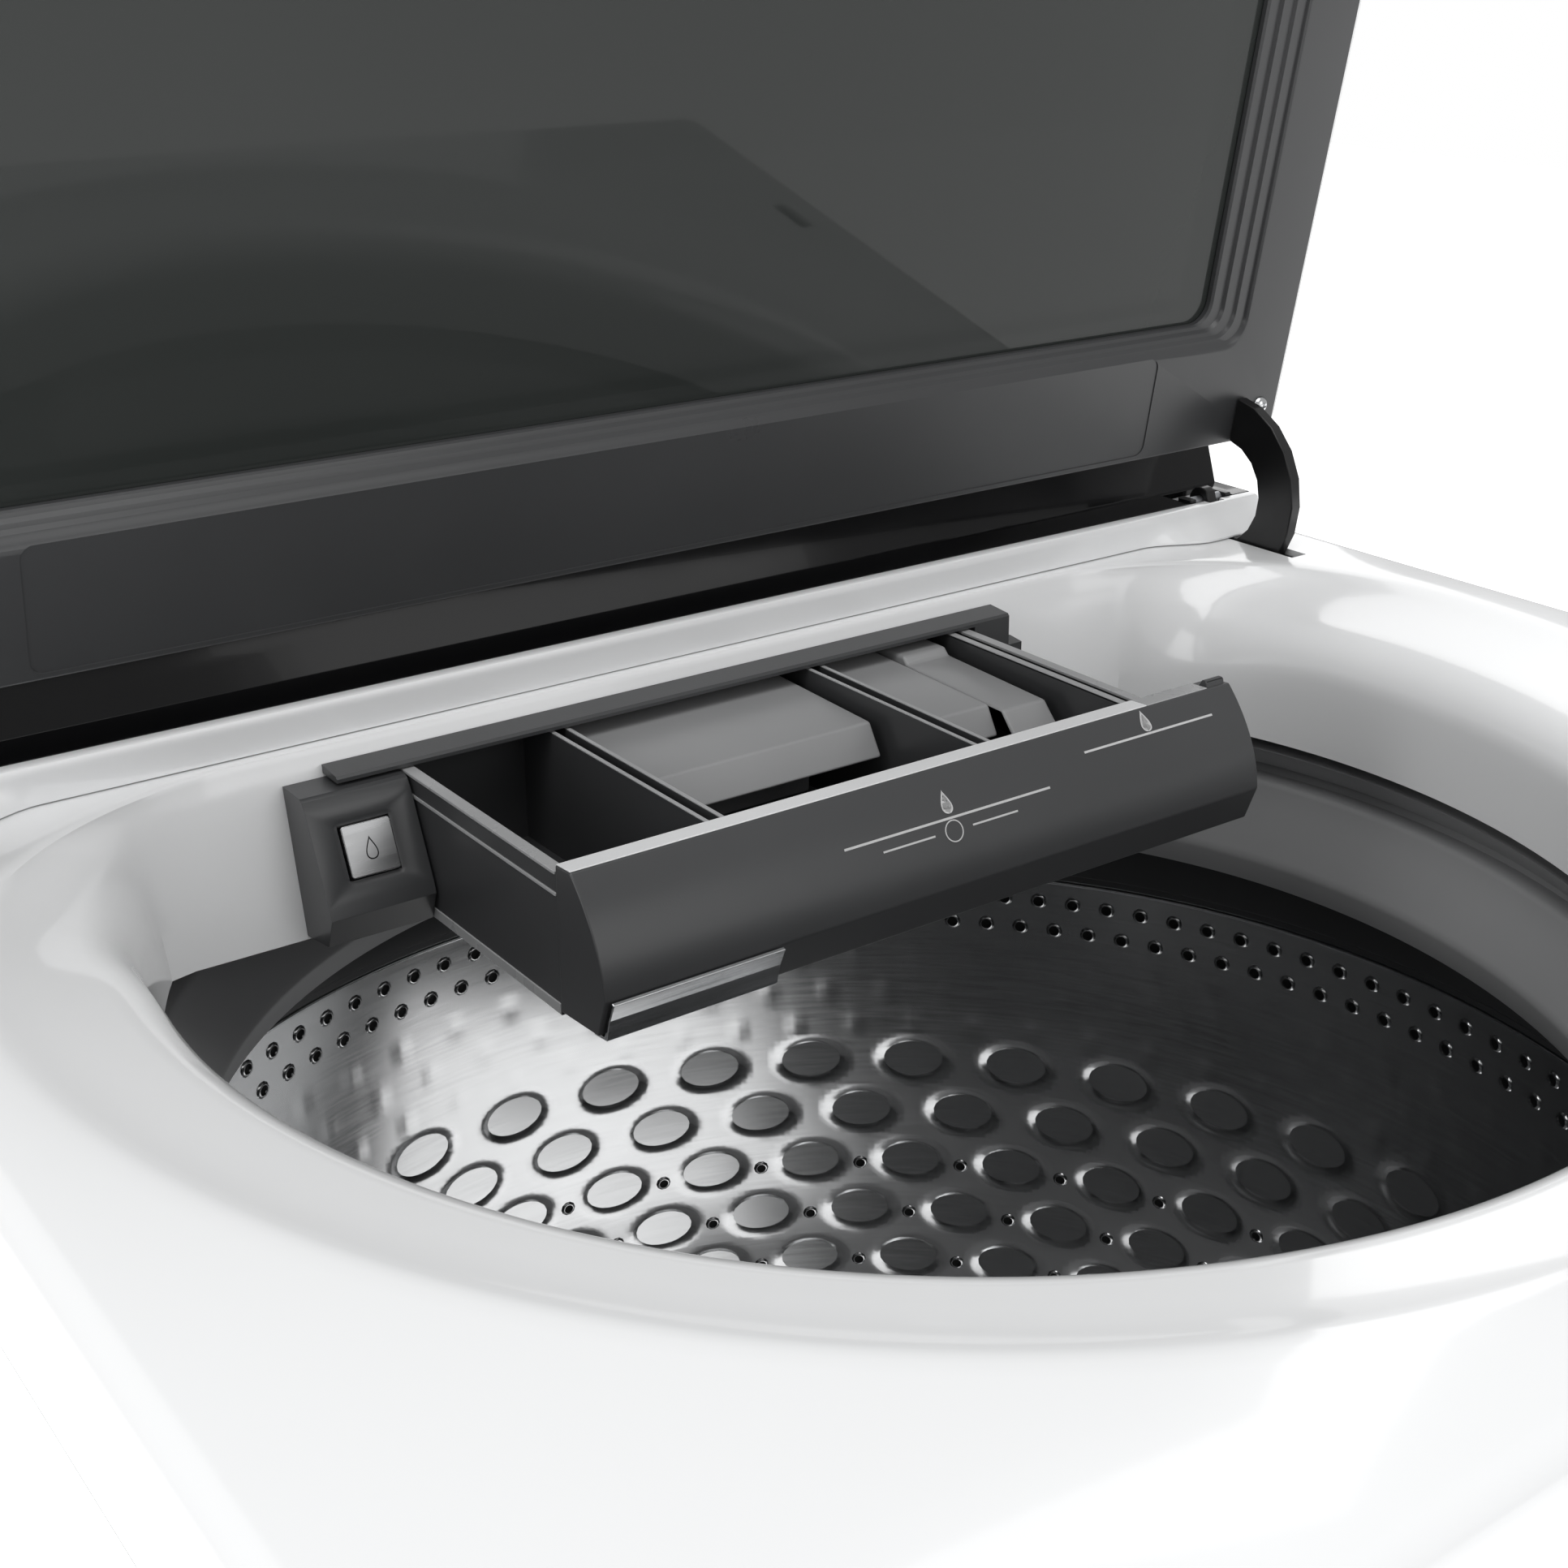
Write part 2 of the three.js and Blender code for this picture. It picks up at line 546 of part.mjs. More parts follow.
function controls() {
  const rim = KNOB_R;
  const knob = turned([[0, GAP], [rim, GAP], [rim, 4], [rim - 2, 11], [rim - 5, 13], [0, 12]], MID_ROUND);
  const stem = disc(4, -16, 2);
  const marker = box(-1.2, 1.2, 8, rim - 5, 11, 13.6);
  add("cycle_knob", onFace(join(knob, stem, marker), KNOB_X), CHROME);
  const button = () => turned(
    [[0, -8], [BUTTON_R, -8], [BUTTON_R, 1.6], [BUTTON_R - 1.4, 3], [0, 3]], SMALL_ROUND,
  );
  add("power_button", onFace(button(), POWER_X), CHROME);
  add("start_button", onFace(button(), START_X), CHROME);
}

function consoleInsides() {
  const y = FACE_Y + 50;
  const board = box(-110, 110, y, y + 90, deck(12), deck(13.6));
  const parts = [];
  for (let i = 0; i < 5; i++) {
    const x = -95 + i * 42;
    parts.push(box(x, x + 23, y + 15, y + 38 + 6 * (i % 3), deck(13), deck(22 + 4 * (i % 2))));
  }
  const legs = [-100, 100].map((x) => box(x - 4, x + 4, y + 70, y + 78, deck(GAP), deck(12.5)));
  add("control_board", join(board, ...parts, ...legs), BOARD);

  const [x0, x1] = [CONSOLE_X - 114, CONSOLE_X - 26];
  const body = box(x0, x1, HALF_D - 60, HALF_D - 9, deck(18), deck(58));
  const pieces = [body];
  const bores = [];
  for (const x of [x0 + 22, x1 - 22]) {
    pieces.push(pinY(13, HALF_D - 12, HALF_D - 0.5, x, deck(38)));
    bores.push(pinY(8, HALF_D - 24, HALF_D, x, deck(38)));
  }
  pieces.push(box(x0 + 36, x1 - 36, HALF_D - 52, HALF_D - 40, deck(GAP), deck(20)));
  add("inlet_valve", cut(join(...pieces), ...bores), RESIN);
}

// ---------- lid ----------
// The lid is drawn closed, about its hinge axis, in a group that turns it open.
const lid = new THREE.Group();
lid.position.set(0, HINGE_Y, HINGE_Z);
lid.rotation.x = (-LID_OPEN * Math.PI) / 180;
part.add(lid);

const LID_IN = LID_GAP - HINGE_UP; // inner face
const LID_OUT = LID_IN + LID_T; // outer face
const lidRear = -LID_REAR;
const lidFront = -LID_REAR - LID_LENGTH;
const GLASS_TOP = LID_IN + 15;

function lidPieces() {
  const plan = (d, r) => roundedRect(-LID_X + d, LID_X - d, lidFront + d, lidRear - d, r);
  const flange = GLASS_TOP + GAP;
  const block = upright(plan(0, LID_CORNER), LID_IN + LID_STEP - LID_EDGE, LID_OUT, LID_EDGE);
  const under = box(-WIDTH, WIDTH, -DEPTH * 2, DEPTH, LID_IN - 20, LID_IN + LID_STEP);
  const pocket = upright(plan(LID_RIM, LID_CORNER - LID_RIM), LID_IN - 20, flange);
  const upper = upright(plan(LID_RIM + 4, LID_CORNER - LID_RIM), LID_IN, LID_OUT - 3);
  const shelf = (side) => roundedRect(
    -LID_X + WINDOW_SIDE + side, LID_X - WINDOW_SIDE - side,
    lidFront + WINDOW_FRONT + side, lidRear - WINDOW_REAR - side, 10 - side,
  );
  const frameWall = upright(shelf(-6), flange, LID_OUT - 1);
  const window = upright(shelf(0), LID_IN - 20, LID_OUT + 5);
  const outer = cut(join(cut(block, under, pocket, upper), cut(frameWall, window)), window);
  add("lid_outer_frame", outer, WHITE, lid);

  add("lid_glass", upright(shelf(-GLASS_LAP), GLASS_TOP - GLASS_T, GLASS_TOP), GLASS, lid);

  const inner = upright(plan(LID_RIM + GAP, LID_CORNER - LID_RIM), LID_IN, GLASS_TOP - GLASS_T - GAP);
  const bevelled = upright(shelf(-WINDOW_BEVEL), LID_IN - 30, LID_IN + WINDOW_BEVEL, WINDOW_BEVEL);
  const hollow = cut(
    upright(plan(LID_RIM + 3, LID_CORNER - LID_RIM), LID_IN + 2.5, GLASS_TOP),
    upright(shelf(-WINDOW_BEVEL - 3), LID_IN, GLASS_TOP + 1),
  );
  const label = upright(
    roundedRect(-LID_X + 82, LID_X - 89, lidRear - 49, lidRear - 2.5, 5), LID_IN - 1, LID_IN + 0.5,
  );
  const holes = [-1, 1].map((sx) => disc(2.6, LID_IN - 2, LID_IN + 6).translate([sx * SCREW_X, SCREW_Y, 0]));
  add("lid_inner_frame", cut(inner, bevelled, window, hollow, label, ...holes), GREY, lid);

  for (const [side, sx] of [["left", -1], ["right", 1]]) {
    const head = [[0, -3], [2, -2.8], [3.6, -1.8], [4.35, -0.4], [4.35, -0.2]];
    const shank = [[2, -0.2], [2, 7], [0, 7]];
    const screw = turned([...head, ...shank], SMALL_ROUND);
    add(`lid_screw_${side}`, screw.translate([sx * SCREW_X, SCREW_Y, LID_IN]), CHROME, lid);
    add(`hinge_arm_${side}`, hingeArm(sx), BLACK, lid);
  }
  const [sx, sy] = [LOCK_X, LOCK_Y - HINGE_Y];
  const plate = box(sx - 9, sx + 9, sy - 20, sy + 20, LID_IN - 2.2, LID_IN - 0.3);
  const tongue = box(sx - 2, sx + 2, sy - 9, sy + 9, LID_IN - 18, LID_IN - 1);
  const eye = box(sx - 5, sx + 5, sy - 5, sy + 5, LID_IN - 15, LID_IN - 8);
  add("lid_strike", cut(join(plate, tongue), eye), ZINC, lid);
}

const SCREW_X = LID_X - 14;
const SCREW_Y = lidRear - 16.5;

// The arm runs from the lid's inner face round the console strip to the hinge pin.
// It is drawn open, about the hinge axis, then turned back into the closed lid's frame.
function hingeArm(sx) {
  const [cy, cz] = [0 - HINGE_BACK, 21.6 - HINGE_UP]; // middle of the arc
  const inR = ARM_R - ARM_BAND;
  const deg = Math.PI / 180;
  const s = new THREE.Shape();
  const end = 212 * deg;
  const back = 236 * deg;
  s.moveTo(cy + ARM_R * Math.cos(80 * deg), cz + ARM_R * Math.sin(80 * deg));
  s.absarc(cy, cz, ARM_R, 80 * deg, end);
  s.lineTo(cy - ARM_R - 3, -HINGE_UP - 1.5);
  s.lineTo(cy - ARM_R - 1, -HINGE_UP - 14);
  s.lineTo(cy - inR + 8, -HINGE_UP - 24);
  s.lineTo(4, -6);
  s.absarc(0, 0, 7, -50 * deg, 130 * deg);
  s.lineTo(-9, -7.8);
  s.lineTo(cy + inR * Math.cos(back) + 1, cz + inR * Math.sin(back));
  s.absarc(cy, cz, inR, back, 80 * deg, true);
  s.closePath();
  const half = ARM_T / 2;
  const arm = across(s, sx * ARM_X - half, sx * ARM_X + half).rotate([LID_OPEN, 0, 0]);
  const lidBody = box(-WIDTH, WIDTH, -DEPTH, DEPTH, LID_IN - GAP, LID_IN + 200);
  const beyond = box(-WIDTH, WIDTH, -DEPTH, lidRear + 0.01, LID_IN - GAP, LID_IN + 200);
  const behind = lidBody.intersect(box(-WIDTH, WIDTH, -DEPTH, -18, -100, 200));
  return cut(arm, beyond, behind, pinX(PIN_R + RUNNING, -WIDTH, WIDTH, 0, 0));
}

function lidLock() {
  const body = box(LOCK_X - 12, LOCK_X + 12, LOCK_Y - 34, LOCK_Y + 34, deck(-40), deck(-DECK_WALL - GAP));
  const slot = box(LOCK_X - 4.5, LOCK_X + 4.5, LOCK_Y - 15, LOCK_Y + 15, deck(-28), deck(0));
  add("lid_lock", cut(body, slot), BLACK);
}

// ---------- dispenser ----------
function dispenserHousing() {
  const t = 2.5;
  const [x0, x1] = [SLOT_X0, SLOT_X1];
  const [z0, z1] = [deck(-DRAWER_BOTTOM - 2), deck(-DECK_WALL - GAP)];
  const y0 = rearWallY(-DRAWER_RIM) + DECK_WALL + 2;
  const y1 = DRAWER_Y1 + TRAVEL + SLOT_CLEAR;
  const outer = box(x0 - t, x1 + t, y0, y1 + t, z0 - t, z1);
  const inner = box(x0, x1, y0 - 1, y1, z0, z1 + 1);
  add("dispenser_housing", cut(outer, inner), LIGHT_GREY);
}

const BEZEL_FOOT = 1.4; // how much further out the bezel's foot is
const BEZEL_Y = rearWallY(0) - BEZEL_OUT;
const TRAVEL = DRAWER_OUT - BEZEL_OUT - BEZEL_FOOT - 1; // pushed in, the drawer's front meets the bezel
const BEZEL_REACH = 23; // how far the bezel passes the drawer on each side

function dispenserBezel() {
  const g = GAP;
  const beam = across(
    outline([
      [rearWallY(-7) - g, -6.4], [BEZEL_Y + 1, -7.4], [BEZEL_Y, -8.4], [BEZEL_Y, -9.8],
      [rearWallY(-10) - g, -9.8],
    ]),
    DRAWER_X0 - BEZEL_REACH - 4,
    DRAWER_X1 + BEZEL_REACH,
    0,
  );
  const low = -DRAWER_BOTTOM + 1;
  const cheekShape = outline([
    [rearWallY(-7) - g, -6.4], [BEZEL_Y + 1, -7.4], [BEZEL_Y, -8.4],
    [BEZEL_Y - BEZEL_FOOT, low], [rearWallY(low) - g, low],
  ]);
  const cheek = across(cheekShape, DRAWER_X1 + SLOT_CLEAR, DRAWER_X1 + BEZEL_REACH, 0);
  const lobe = across(
    outline([[rearWallY(-22) - g, -22], [BEZEL_Y + 2, -23], [BEZEL_Y + 2, low], [rearWallY(low) - g, low]]),
    DRAWER_X1 + SLOT_CLEAR + 2,
    DRAWER_X1 + BEZEL_REACH + 10,
  );
  add("dispenser_bezel", join(beam, cheek, lobe).translate([0, 0, DECK_Z]), GREY);
}

const SPOUT_X1 = DRAWER_X0 - 1.2;
const SPOUT_X0 = SPOUT_X1 - SPOUT_W;
const SPOUT_MID = (SPOUT_X0 + SPOUT_X1) / 2;
const SPOUT_FACE_TOP = [rearWallY(0) - 20.9, -15];
const SPOUT_FACE_LOW = [rearWallY(0) - 35.4, -48];
const SPOUT_TILT =
  (Math.atan2(SPOUT_FACE_TOP[0] - SPOUT_FACE_LOW[0], SPOUT_FACE_TOP[1] - SPOUT_FACE_LOW[1]) * 180) / Math.PI;

// Moves a solid that stands on z = 0, pointing up, onto the spout's sloping face.
const onSpout = (made) =>
  made.rotate([90 - SPOUT_TILT, 0, 0]).translate([
    SPOUT_MID,
    (SPOUT_FACE_TOP[0] + SPOUT_FACE_LOW[0]) / 2,
    deck((SPOUT_FACE_TOP[1] + SPOUT_FACE_LOW[1]) / 2),
  ]);

function faucet() {
  const wall = (z) => rearWallY(z) - GAP;
  const side = outline([
    [wall(-11), -11], [rearWallY(0) - 17, -11.2], [rearWallY(0) - 18.9, -12], SPOUT_FACE_TOP, SPOUT_FACE_LOW,
    [rearWallY(0) - 36.8, -52.5], [rearWallY(0) - 32, -64.5], [rearWallY(0) - 13.5, -67.5], [wall(-67), -67],
  ]);
  const block = across(side, SPOUT_X0, SPOUT_X1, 0).translate([0, 0, DECK_Z]);
  const h = BUTTON / 2 + RUNNING;
  const well = onSpout(box(-h, h, -h, h, -7, 5));
  const y = rearWallY(0);
  const throat = box(SPOUT_MID - 10, SPOUT_MID + 10, y - 30, y - 18, deck(-70), deck(-50));
  add("faucet_block", cut(block, well, throat), GREY);
  const key = upright(roundedRect(-BUTTON / 2, BUTTON / 2, -BUTTON / 2, BUTTON / 2, 1.2), -4, 1);
  add("faucet_button", onSpout(key), CHROME);
}

const DRAWER_INSIDE = DRAWER_X1 - DRAWER_X0;
const DIVIDERS = [0.245, 0.695].map((part) => DRAWER_X0 + part * DRAWER_INSIDE);

function drawerBody() {
  const t = DRAWER_WALL;
  const [x0, x1, y0, y1] = [DRAWER_X0, DRAWER_X1, DRAWER_Y0, DRAWER_Y1];
  const [z0, z1] = [deck(-DRAWER_BOTTOM), deck(-DRAWER_RIM)];
  const wellX = [x0 + t];
  for (const x of DIVIDERS) wellX.push(x - DIVIDER_GAP / 2 - t, x + DIVIDER_GAP / 2 + t);
  wellX.push(x1 - RAIL_W);
  const cuts = [];
  for (let i = 0; i < 3; i++)
    cuts.push(box(wellX[2 * i], wellX[2 * i + 1], y0 + t, y1 - t, z0 + t, z1 + 1));
  for (const x of DIVIDERS)
    cuts.push(box(x - DIVIDER_GAP / 2, x + DIVIDER_GAP / 2, y0 + t, y1 - t, z0 + 20, z1 + 1));
  cuts.push(box(x1 - RAIL_W + t, x1 - t, y0 + t, y1 - t, z0 + 20, z1 + 1));
  add("drawer_body", cut(box(x0, x1, y0, y1, z0, z1), ...cuts), GREY);
}

const FRONT_Y = DRAWER_Y0 - GAP; // rear face of the drawer's front

// Lower part of the front's face: the bottom of the bulge and the foot of the chamfer.
const BULGE_LOW = [FRONT_Y - 29.6, -47];
const FRONT_FOOT = [FRONT_Y - 24.2, -62];

function drawerFront() {
  const s = new THREE.Shape();
  s.moveTo(FRONT_Y, -8).lineTo(FRONT_Y - 9.6, -7.4);
  s.bezierCurveTo(FRONT_Y - 20, -18, FRONT_Y - 28, -31, ...BULGE_LOW);
  s.lineTo(...FRONT_FOOT).lineTo(FRONT_Y, -63.5).closePath();
  const left = DRAWER_X0 - 0.5;
  const right = DRAWER_X1 + FRONT_OVER;
  const panel = across(s, left, right, 0);
  const tabShape = outline([[FRONT_Y - 9, -9], [FRONT_Y - 8, -5], [FRONT_Y - 5, -5], [FRONT_Y - 3, -9]]);
  const tab = across(tabShape, right - 12, right - 2);
  add("drawer_front", join(panel, tab).translate([0, 0, DECK_Z]), GREY);

  const g = GAP;
  const grip = outline([
    [BULGE_LOW[0] - g - 0.2, -47.4], [BULGE_LOW[0] - g - 1.6, -48], [BULGE_LOW[0] + 1, -55],
    [FRONT_FOOT[0] - g - 1.8, -63.6], [FRONT_FOOT[0] + 6, -64.6], [FRONT_FOOT[0] + 6, -63.4],
    [FRONT_FOOT[0] - g, -62.5],
  ]);
  add("drawer_grip", across(grip, left + 2, left + 2 + GRIP_L, 0).translate([0, 0, DECK_Z]), CHROME);
}

function drawerInserts() {
  const t = DRAWER_WALL;
  const rear = DRAWER_Y1 - t - GAP;
  const floor = -DRAWER_BOTTOM + t + GAP;
  const [m0, m1] = DIVIDERS.map((x, i) => x + (i ? -1 : 1) * (DIVIDER_GAP / 2 + t + GAP));
  const front = DRAWER_Y0 + 55;
  const siphon = across(
    outline([
      [rear, -16], [front + 8, -18], [front, -31], [front + 3, -31], [front + 9.5, -20.5], [rear - 30, -19.5],
      [rear - 30, floor], [rear, floor],
    ]),
    m0,
    m1 - 4,
  );
  add("detergent_insert", siphon.translate([0, 0, DECK_Z]), LIGHT_GREY);
  const s0 = DIVIDERS[1] + DIVIDER_GAP / 2 + t + GAP;
  const s1 = DRAWER_X1 - RAIL_W - GAP;
  const width = s1 - s0;
  const cap = across(
    outline([
      [rear, -16], [front - 5, -18], [front - 12, -30], [front - 9, -30], [front - 3, -20.5],
      [rear - 20, -19.5], [rear - 20, floor], [rear, floor],
    ]),
    s0,
    s0 + 0.56 * width,
  );
  add("softener_insert", cap.translate([0, 0, DECK_Z]), LIGHT_GREY);
  const [r0, r1] = [s0 + 0.56 * width + 1, s1 - 5];
  const tab = across(
    outline([
      [rear - 2, -14], [rear - 26, -14], [rear - 29, -17], [front - 12, -19], [front - 22, -29],
      [front - 19, -30.5], [front - 11, -21], [rear - 2, -20],
    ]),
    r0,
    r1,
  );
  add("release_tab", tab.translate([0, 0, DECK_Z]), LIGHT_GREY);
}

// ---------- tub and basket ----------
function tubRing() {
  const r = MOUTH_R;
  const out = TUB_R + 5;
  const low = -RING_H + 0.6;
  const profile = [
    [r + 2.5, 0], [r + 8.5, -9], [r + 15.5, -10], [r + 15.5, -16], [r + 6.5, -17], [r - 6.5, -51],
    [r - 2.5, -64], [r + 0.5, -63], [r - 3.2, -51], [r + 9, -19.5], [r + 19, -19], [r + 19, -7],
    [out - 3, -43], [out - 3, low], [out, low], [out, -41], [r + 22, 0],
  ];
  add("tub_ring", turned(profile).translate([0, 0, deck(-RING_TOP)]), GREY);
}

const EAR_T = 8;

function outerTub() {
  const rim = deck(-RING_TOP - RING_H);
  const [ro, ri, t] = [TUB_R, TUB_R - TUB_WALL, 4];
  const [b, z] = [BEARING_OUT + 1, TUB_FLOOR];
  const shell = turned([
    [ri, rim], [ri, z + 14], [ri - 12, z], [b, z], [b, z - 34], [b + 6, z - 34], [b + 6, z - t],
    [ri - 11, z - t], [ro, z + 11], [ro, rim - 4], [ro + 5, rim - 4], [ro + 5, rim],
  ]);
  const ears = [];
  const holes = [];
  const reach = Math.hypot(ROD_X, ROD_Y);
  for (const [sx, sy] of [[-1, -1], [1, -1], [-1, 1], [1, 1]]) {
    const angle = (Math.atan2(sy * ROD_Y, sx * ROD_X) * 180) / Math.PI;
    ears.push(box(ri + 1, reach + 18, -24, 24, EAR_Z, EAR_Z + EAR_T).rotate([0, 0, angle]));
    holes.push(disc(ROD_R + 3, 0, DECK_Z).translate([sx * ROD_X, sy * ROD_Y, 0]));
  }
  const hollow = disc(ri, z + 14, rim + 1, ROUND);
  add("outer_tub", cut(join(shell, cut(join(...ears), hollow)), ...holes), RESIN);
}

function suspension() {
  for (const [side, sx] of [["left", -1], ["right", 1]])
    for (const [end, sy] of [["front", -1], ["rear", 1]]) {
      const top = deck(-SKIRT_H - GAP) - GUSSET_DROP + GAP;
      const r = ROD_R - 0.2;
      const seat = ROD_BOTTOM + SEAT_T;
      const rod = turned([
        [0, ROD_BOTTOM], [SPRING_R + 2, ROD_BOTTOM], [SPRING_R + 2, seat], [r, seat], [r, top], [9, top],
        [9, top + 6], [0, top + 10],
      ], SMALL_ROUND);
      const spring = tube(SPRING_R - 4, SPRING_R, seat + GAP, EAR_Z - GAP);
      const at = [sx * ROD_X, sy * ROD_Y, 0];
      add(`suspension_rod_${end}_${side}`, rod.translate(at), ZINC);
      add(`suspension_spring_${end}_${side}`, spring.translate(at), ZINC);
    }
}

function basketPieces() {
  const [ro, ri, t, z] = [BASKET_R, BASKET_R - BASKET_WALL, BASKET_WALL, BASKET_FLOOR];
  const hole = 42;
  const basket = turned([
    [ri, BASKET_TOP], [ro, BASKET_TOP], [ro, z + 15], [ro - 15, z - t], [hole, z - t], [hole, z],
    [ri - 14, z], [ri, z + 15],
  ]);
  add("basket", basket, STEEL);
  const over = deck(-RING_TOP - RING_H - RING_DROP);
  const foot = BASKET_TOP + GAP;
  const balance = turned([[ri - 2, over], [ro + 5, over], [ro + 5, foot], [ri - 2, foot]]);
  add("balance_ring", balance, GREY);
  const bore = SHAFT_R + RUNNING;
  const hub = turned([
    [bore, z - t - GAP], [120, z - t - GAP], [120, z - t - 6], [60, z - t - 12],
    [bore + HUB_WALL, z - t - 14], [bore + HUB_WALL, TUB_FLOOR - 46], [bore, TUB_FLOOR - 46],
  ], MID_ROUND);
  add("basket_hub", hub, ZINC);

  const plateR = BASKET_R - PLATE_SPACE;
  const low = z + 3;
  const dome = turned([
    [0, low], [22, low], [22, low + 18], [plateR * 0.5, low + 14], [plateR - 12, low + 6], [plateR - 12, low],
    [plateR - 4, low], [plateR, low + 4], [plateR - 6, low + 12], [plateR * 0.55, low + 20],
    [60, low + 26], [46, low + 40], [0, low + 46],
  ], MID_ROUND);
  const fins = [];
  for (let i = 0; i < FINS; i++)
    fins.push(
      across(outline([[-9, low + 7], [9, low + 7], [4, low + 36], [-4, low + 36]]), 40, plateR - 12)
        .rotate([0, 0, (i * 360) / FINS]),
    );
  add("wash_plate", join(dome, ...fins), LIGHT_GREY);
  add("drive_shaft", disc(SHAFT_R, PULLEY_Z - 4, low - GAP, MID_ROUND), ZINC);
}

function grooved(r, bore) {
  const z = PULLEY_Z;
  return turned([
    [bore, z], [r, z], [r, z + 3], [r - 3, z + 4], [r - 3, z + PULLEY_H - 4], [r, z + PULLEY_H - 3],
    [r, z + PULLEY_H], [bore, z + PULLEY_H],
  ], MID_ROUND);
}

// Outline round the two pulleys, `d` outside their grooves.
function beltOutline(d) {
  const [R, r] = [BIG_PULLEY_R - 3 + d, SMALL_PULLEY_R - 3 + d];
  const a = Math.acos((R - r) / MOTOR_AWAY);
  const s = new THREE.Shape();
  s.absarc(0, 0, R, a, 2 * Math.PI - a);
  s.absarc(MOTOR_AWAY, 0, r, -a, a);
  return s;
}

function drive() {
  const hub = SHAFT_R + RUNNING + HUB_WALL;
  add("tub_bearing", tube(hub + RUNNING, BEARING_OUT, TUB_FLOOR - 32, TUB_FLOOR - 2, MID_ROUND), STEEL);
  const bore = SHAFT_R + RUNNING;
  const z1 = TUB_FLOOR - 34 - GAP;
  const gearcase = turned([
    [bore, PULLEY_Z + PULLEY_H + 8], [50, PULLEY_Z + PULLEY_H + 8], [72, z1 - 30], [72, z1], [36, z1],
    [36, z1 - 16], [bore, z1 - 16],
  ], MID_ROUND);
  add("gearcase", gearcase, ZINC);
  const pulleyHub = SHAFT_R + 0.3;
  add("driven_pulley", grooved(BIG_PULLEY_R, pulleyHub), ZINC);
  const [z0, h] = [PULLEY_Z + (PULLEY_H - BELT_H) / 2, BELT_H];
  const belt = cut(
    upright(beltOutline(BELT_T), z0, z0 + h, 0, 12),
    upright(beltOutline(BELT_CLEAR), z0 - 1, z0 + h + 1, 0, 12),
  );
  add("drive_belt", belt, RUBBER);

  const base = PULLEY_Z + PULLEY_H + 6;
  const top = TUB_FLOOR - 4 - GAP;
  const stator = cut(
    join(disc(MOTOR_R, base, base + 72, MID_ROUND), box(-20, 20, -MOTOR_R, MOTOR_R, base + 70, top)),
    disc(8 + RUNNING, base - 1, base + 40),
  );
  add("motor_stator", stator.translate([MOTOR_AWAY, 0, 0]), ZINC);
  const rotor = join(disc(8, PULLEY_Z - 3, base + 38), grooved(SMALL_PULLEY_R, 0));
  add("motor_rotor", rotor.translate([MOTOR_AWAY, 0, 0]), ZINC);

  const [px, py, pr] = [-150, 120, 42];
  const body = disc(pr, base - 10, top, MID_ROUND);
  const nozzle = box(-60, 0, -9, 9, base + 2, base + 20);
  add("pump", join(body, nozzle).translate([px, py, 0]), BLACK);
}

function drainHose() {
  const z = PULLEY_Z + PULLEY_H + 17;
  const y = PANEL_Y - HOSE_BACK;
  const points = [
    [-214, 120, z], [-240, 124, z + 2], [-262, 150, z + 6],
    [OUTLET_X - 20, 210, z + 14], [OUTLET_X, y - 34, z + 40],
    [OUTLET_X, y, z + 110], [OUTLET_X, y, z + 300], [OUTLET_X, y, OUTLET_Z - 140],
    [OUTLET_X, y, OUTLET_Z - 40], [OUTLET_X, y + 6, OUTLET_Z - 8], [OUTLET_X, y + 15, OUTLET_Z],
  ].map((p) => new THREE.Vector3(...p));
  const section = new THREE.Shape().absarc(0, 0, HOSE_R, 0, 2 * Math.PI);
  const hose = new THREE.ExtrudeGeometry(section, {
    steps: 30,
    curveSegments: 4,
    extrudePath: new THREE.CatmullRomCurve3(points, false, "centripetal"),
  });
  add("drain_hose", solid(hose), RUBBER);
}

cabinetShell();
rearPanel();
baseFrame();
feet();
topDeck();
consoleStrip();
consoleFascia();
consoleHousing();
controls();
consoleInsides();
lidPieces();
lidLock();
dispenserHousing();
dispenserBezel();
faucet();
drawerBody();
drawerFront();
drawerInserts();
tubRing();
outerTub();
suspension();
basketPieces();
drive();
drainHose();

export default part;
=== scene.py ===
"""Looks for a top-load washing machine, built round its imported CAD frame."""
import json
import math

import bmesh
import bpy
from bpy.props import FloatProperty, FloatVectorProperty, IntProperty, PointerProperty
from mathutils import Matrix, Vector


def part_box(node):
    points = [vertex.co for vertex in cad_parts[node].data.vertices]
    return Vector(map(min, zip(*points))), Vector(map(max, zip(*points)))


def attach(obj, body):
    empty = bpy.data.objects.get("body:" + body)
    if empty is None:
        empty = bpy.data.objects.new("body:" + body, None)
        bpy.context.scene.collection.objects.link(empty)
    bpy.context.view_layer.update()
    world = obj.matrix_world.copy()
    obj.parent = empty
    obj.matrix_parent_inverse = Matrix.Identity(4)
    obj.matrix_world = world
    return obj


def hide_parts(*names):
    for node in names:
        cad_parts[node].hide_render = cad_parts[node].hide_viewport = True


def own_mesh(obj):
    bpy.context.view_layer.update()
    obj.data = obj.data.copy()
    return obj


bl_info = {
    "name": "Top-load Washing Machine",
    "version": (1, 0, 0),
    "blender": (4, 5, 0),
    "location": "View3D > Sidebar > Washer",
    "description": "Builds the visible pieces and finishes of a top-load washing machine",
    "category": "Object",
}


def colour_property(name, description, default):
    return FloatVectorProperty(
        name=name, description=description, default=default, size=3, min=0.0, max=1.0, subtype="COLOR",
    )


def length_property(name, description, default, low, high):
    return FloatProperty(
        name=name, description=description, default=default, min=low, max=high,
        unit="LENGTH", subtype="DISTANCE",
    )


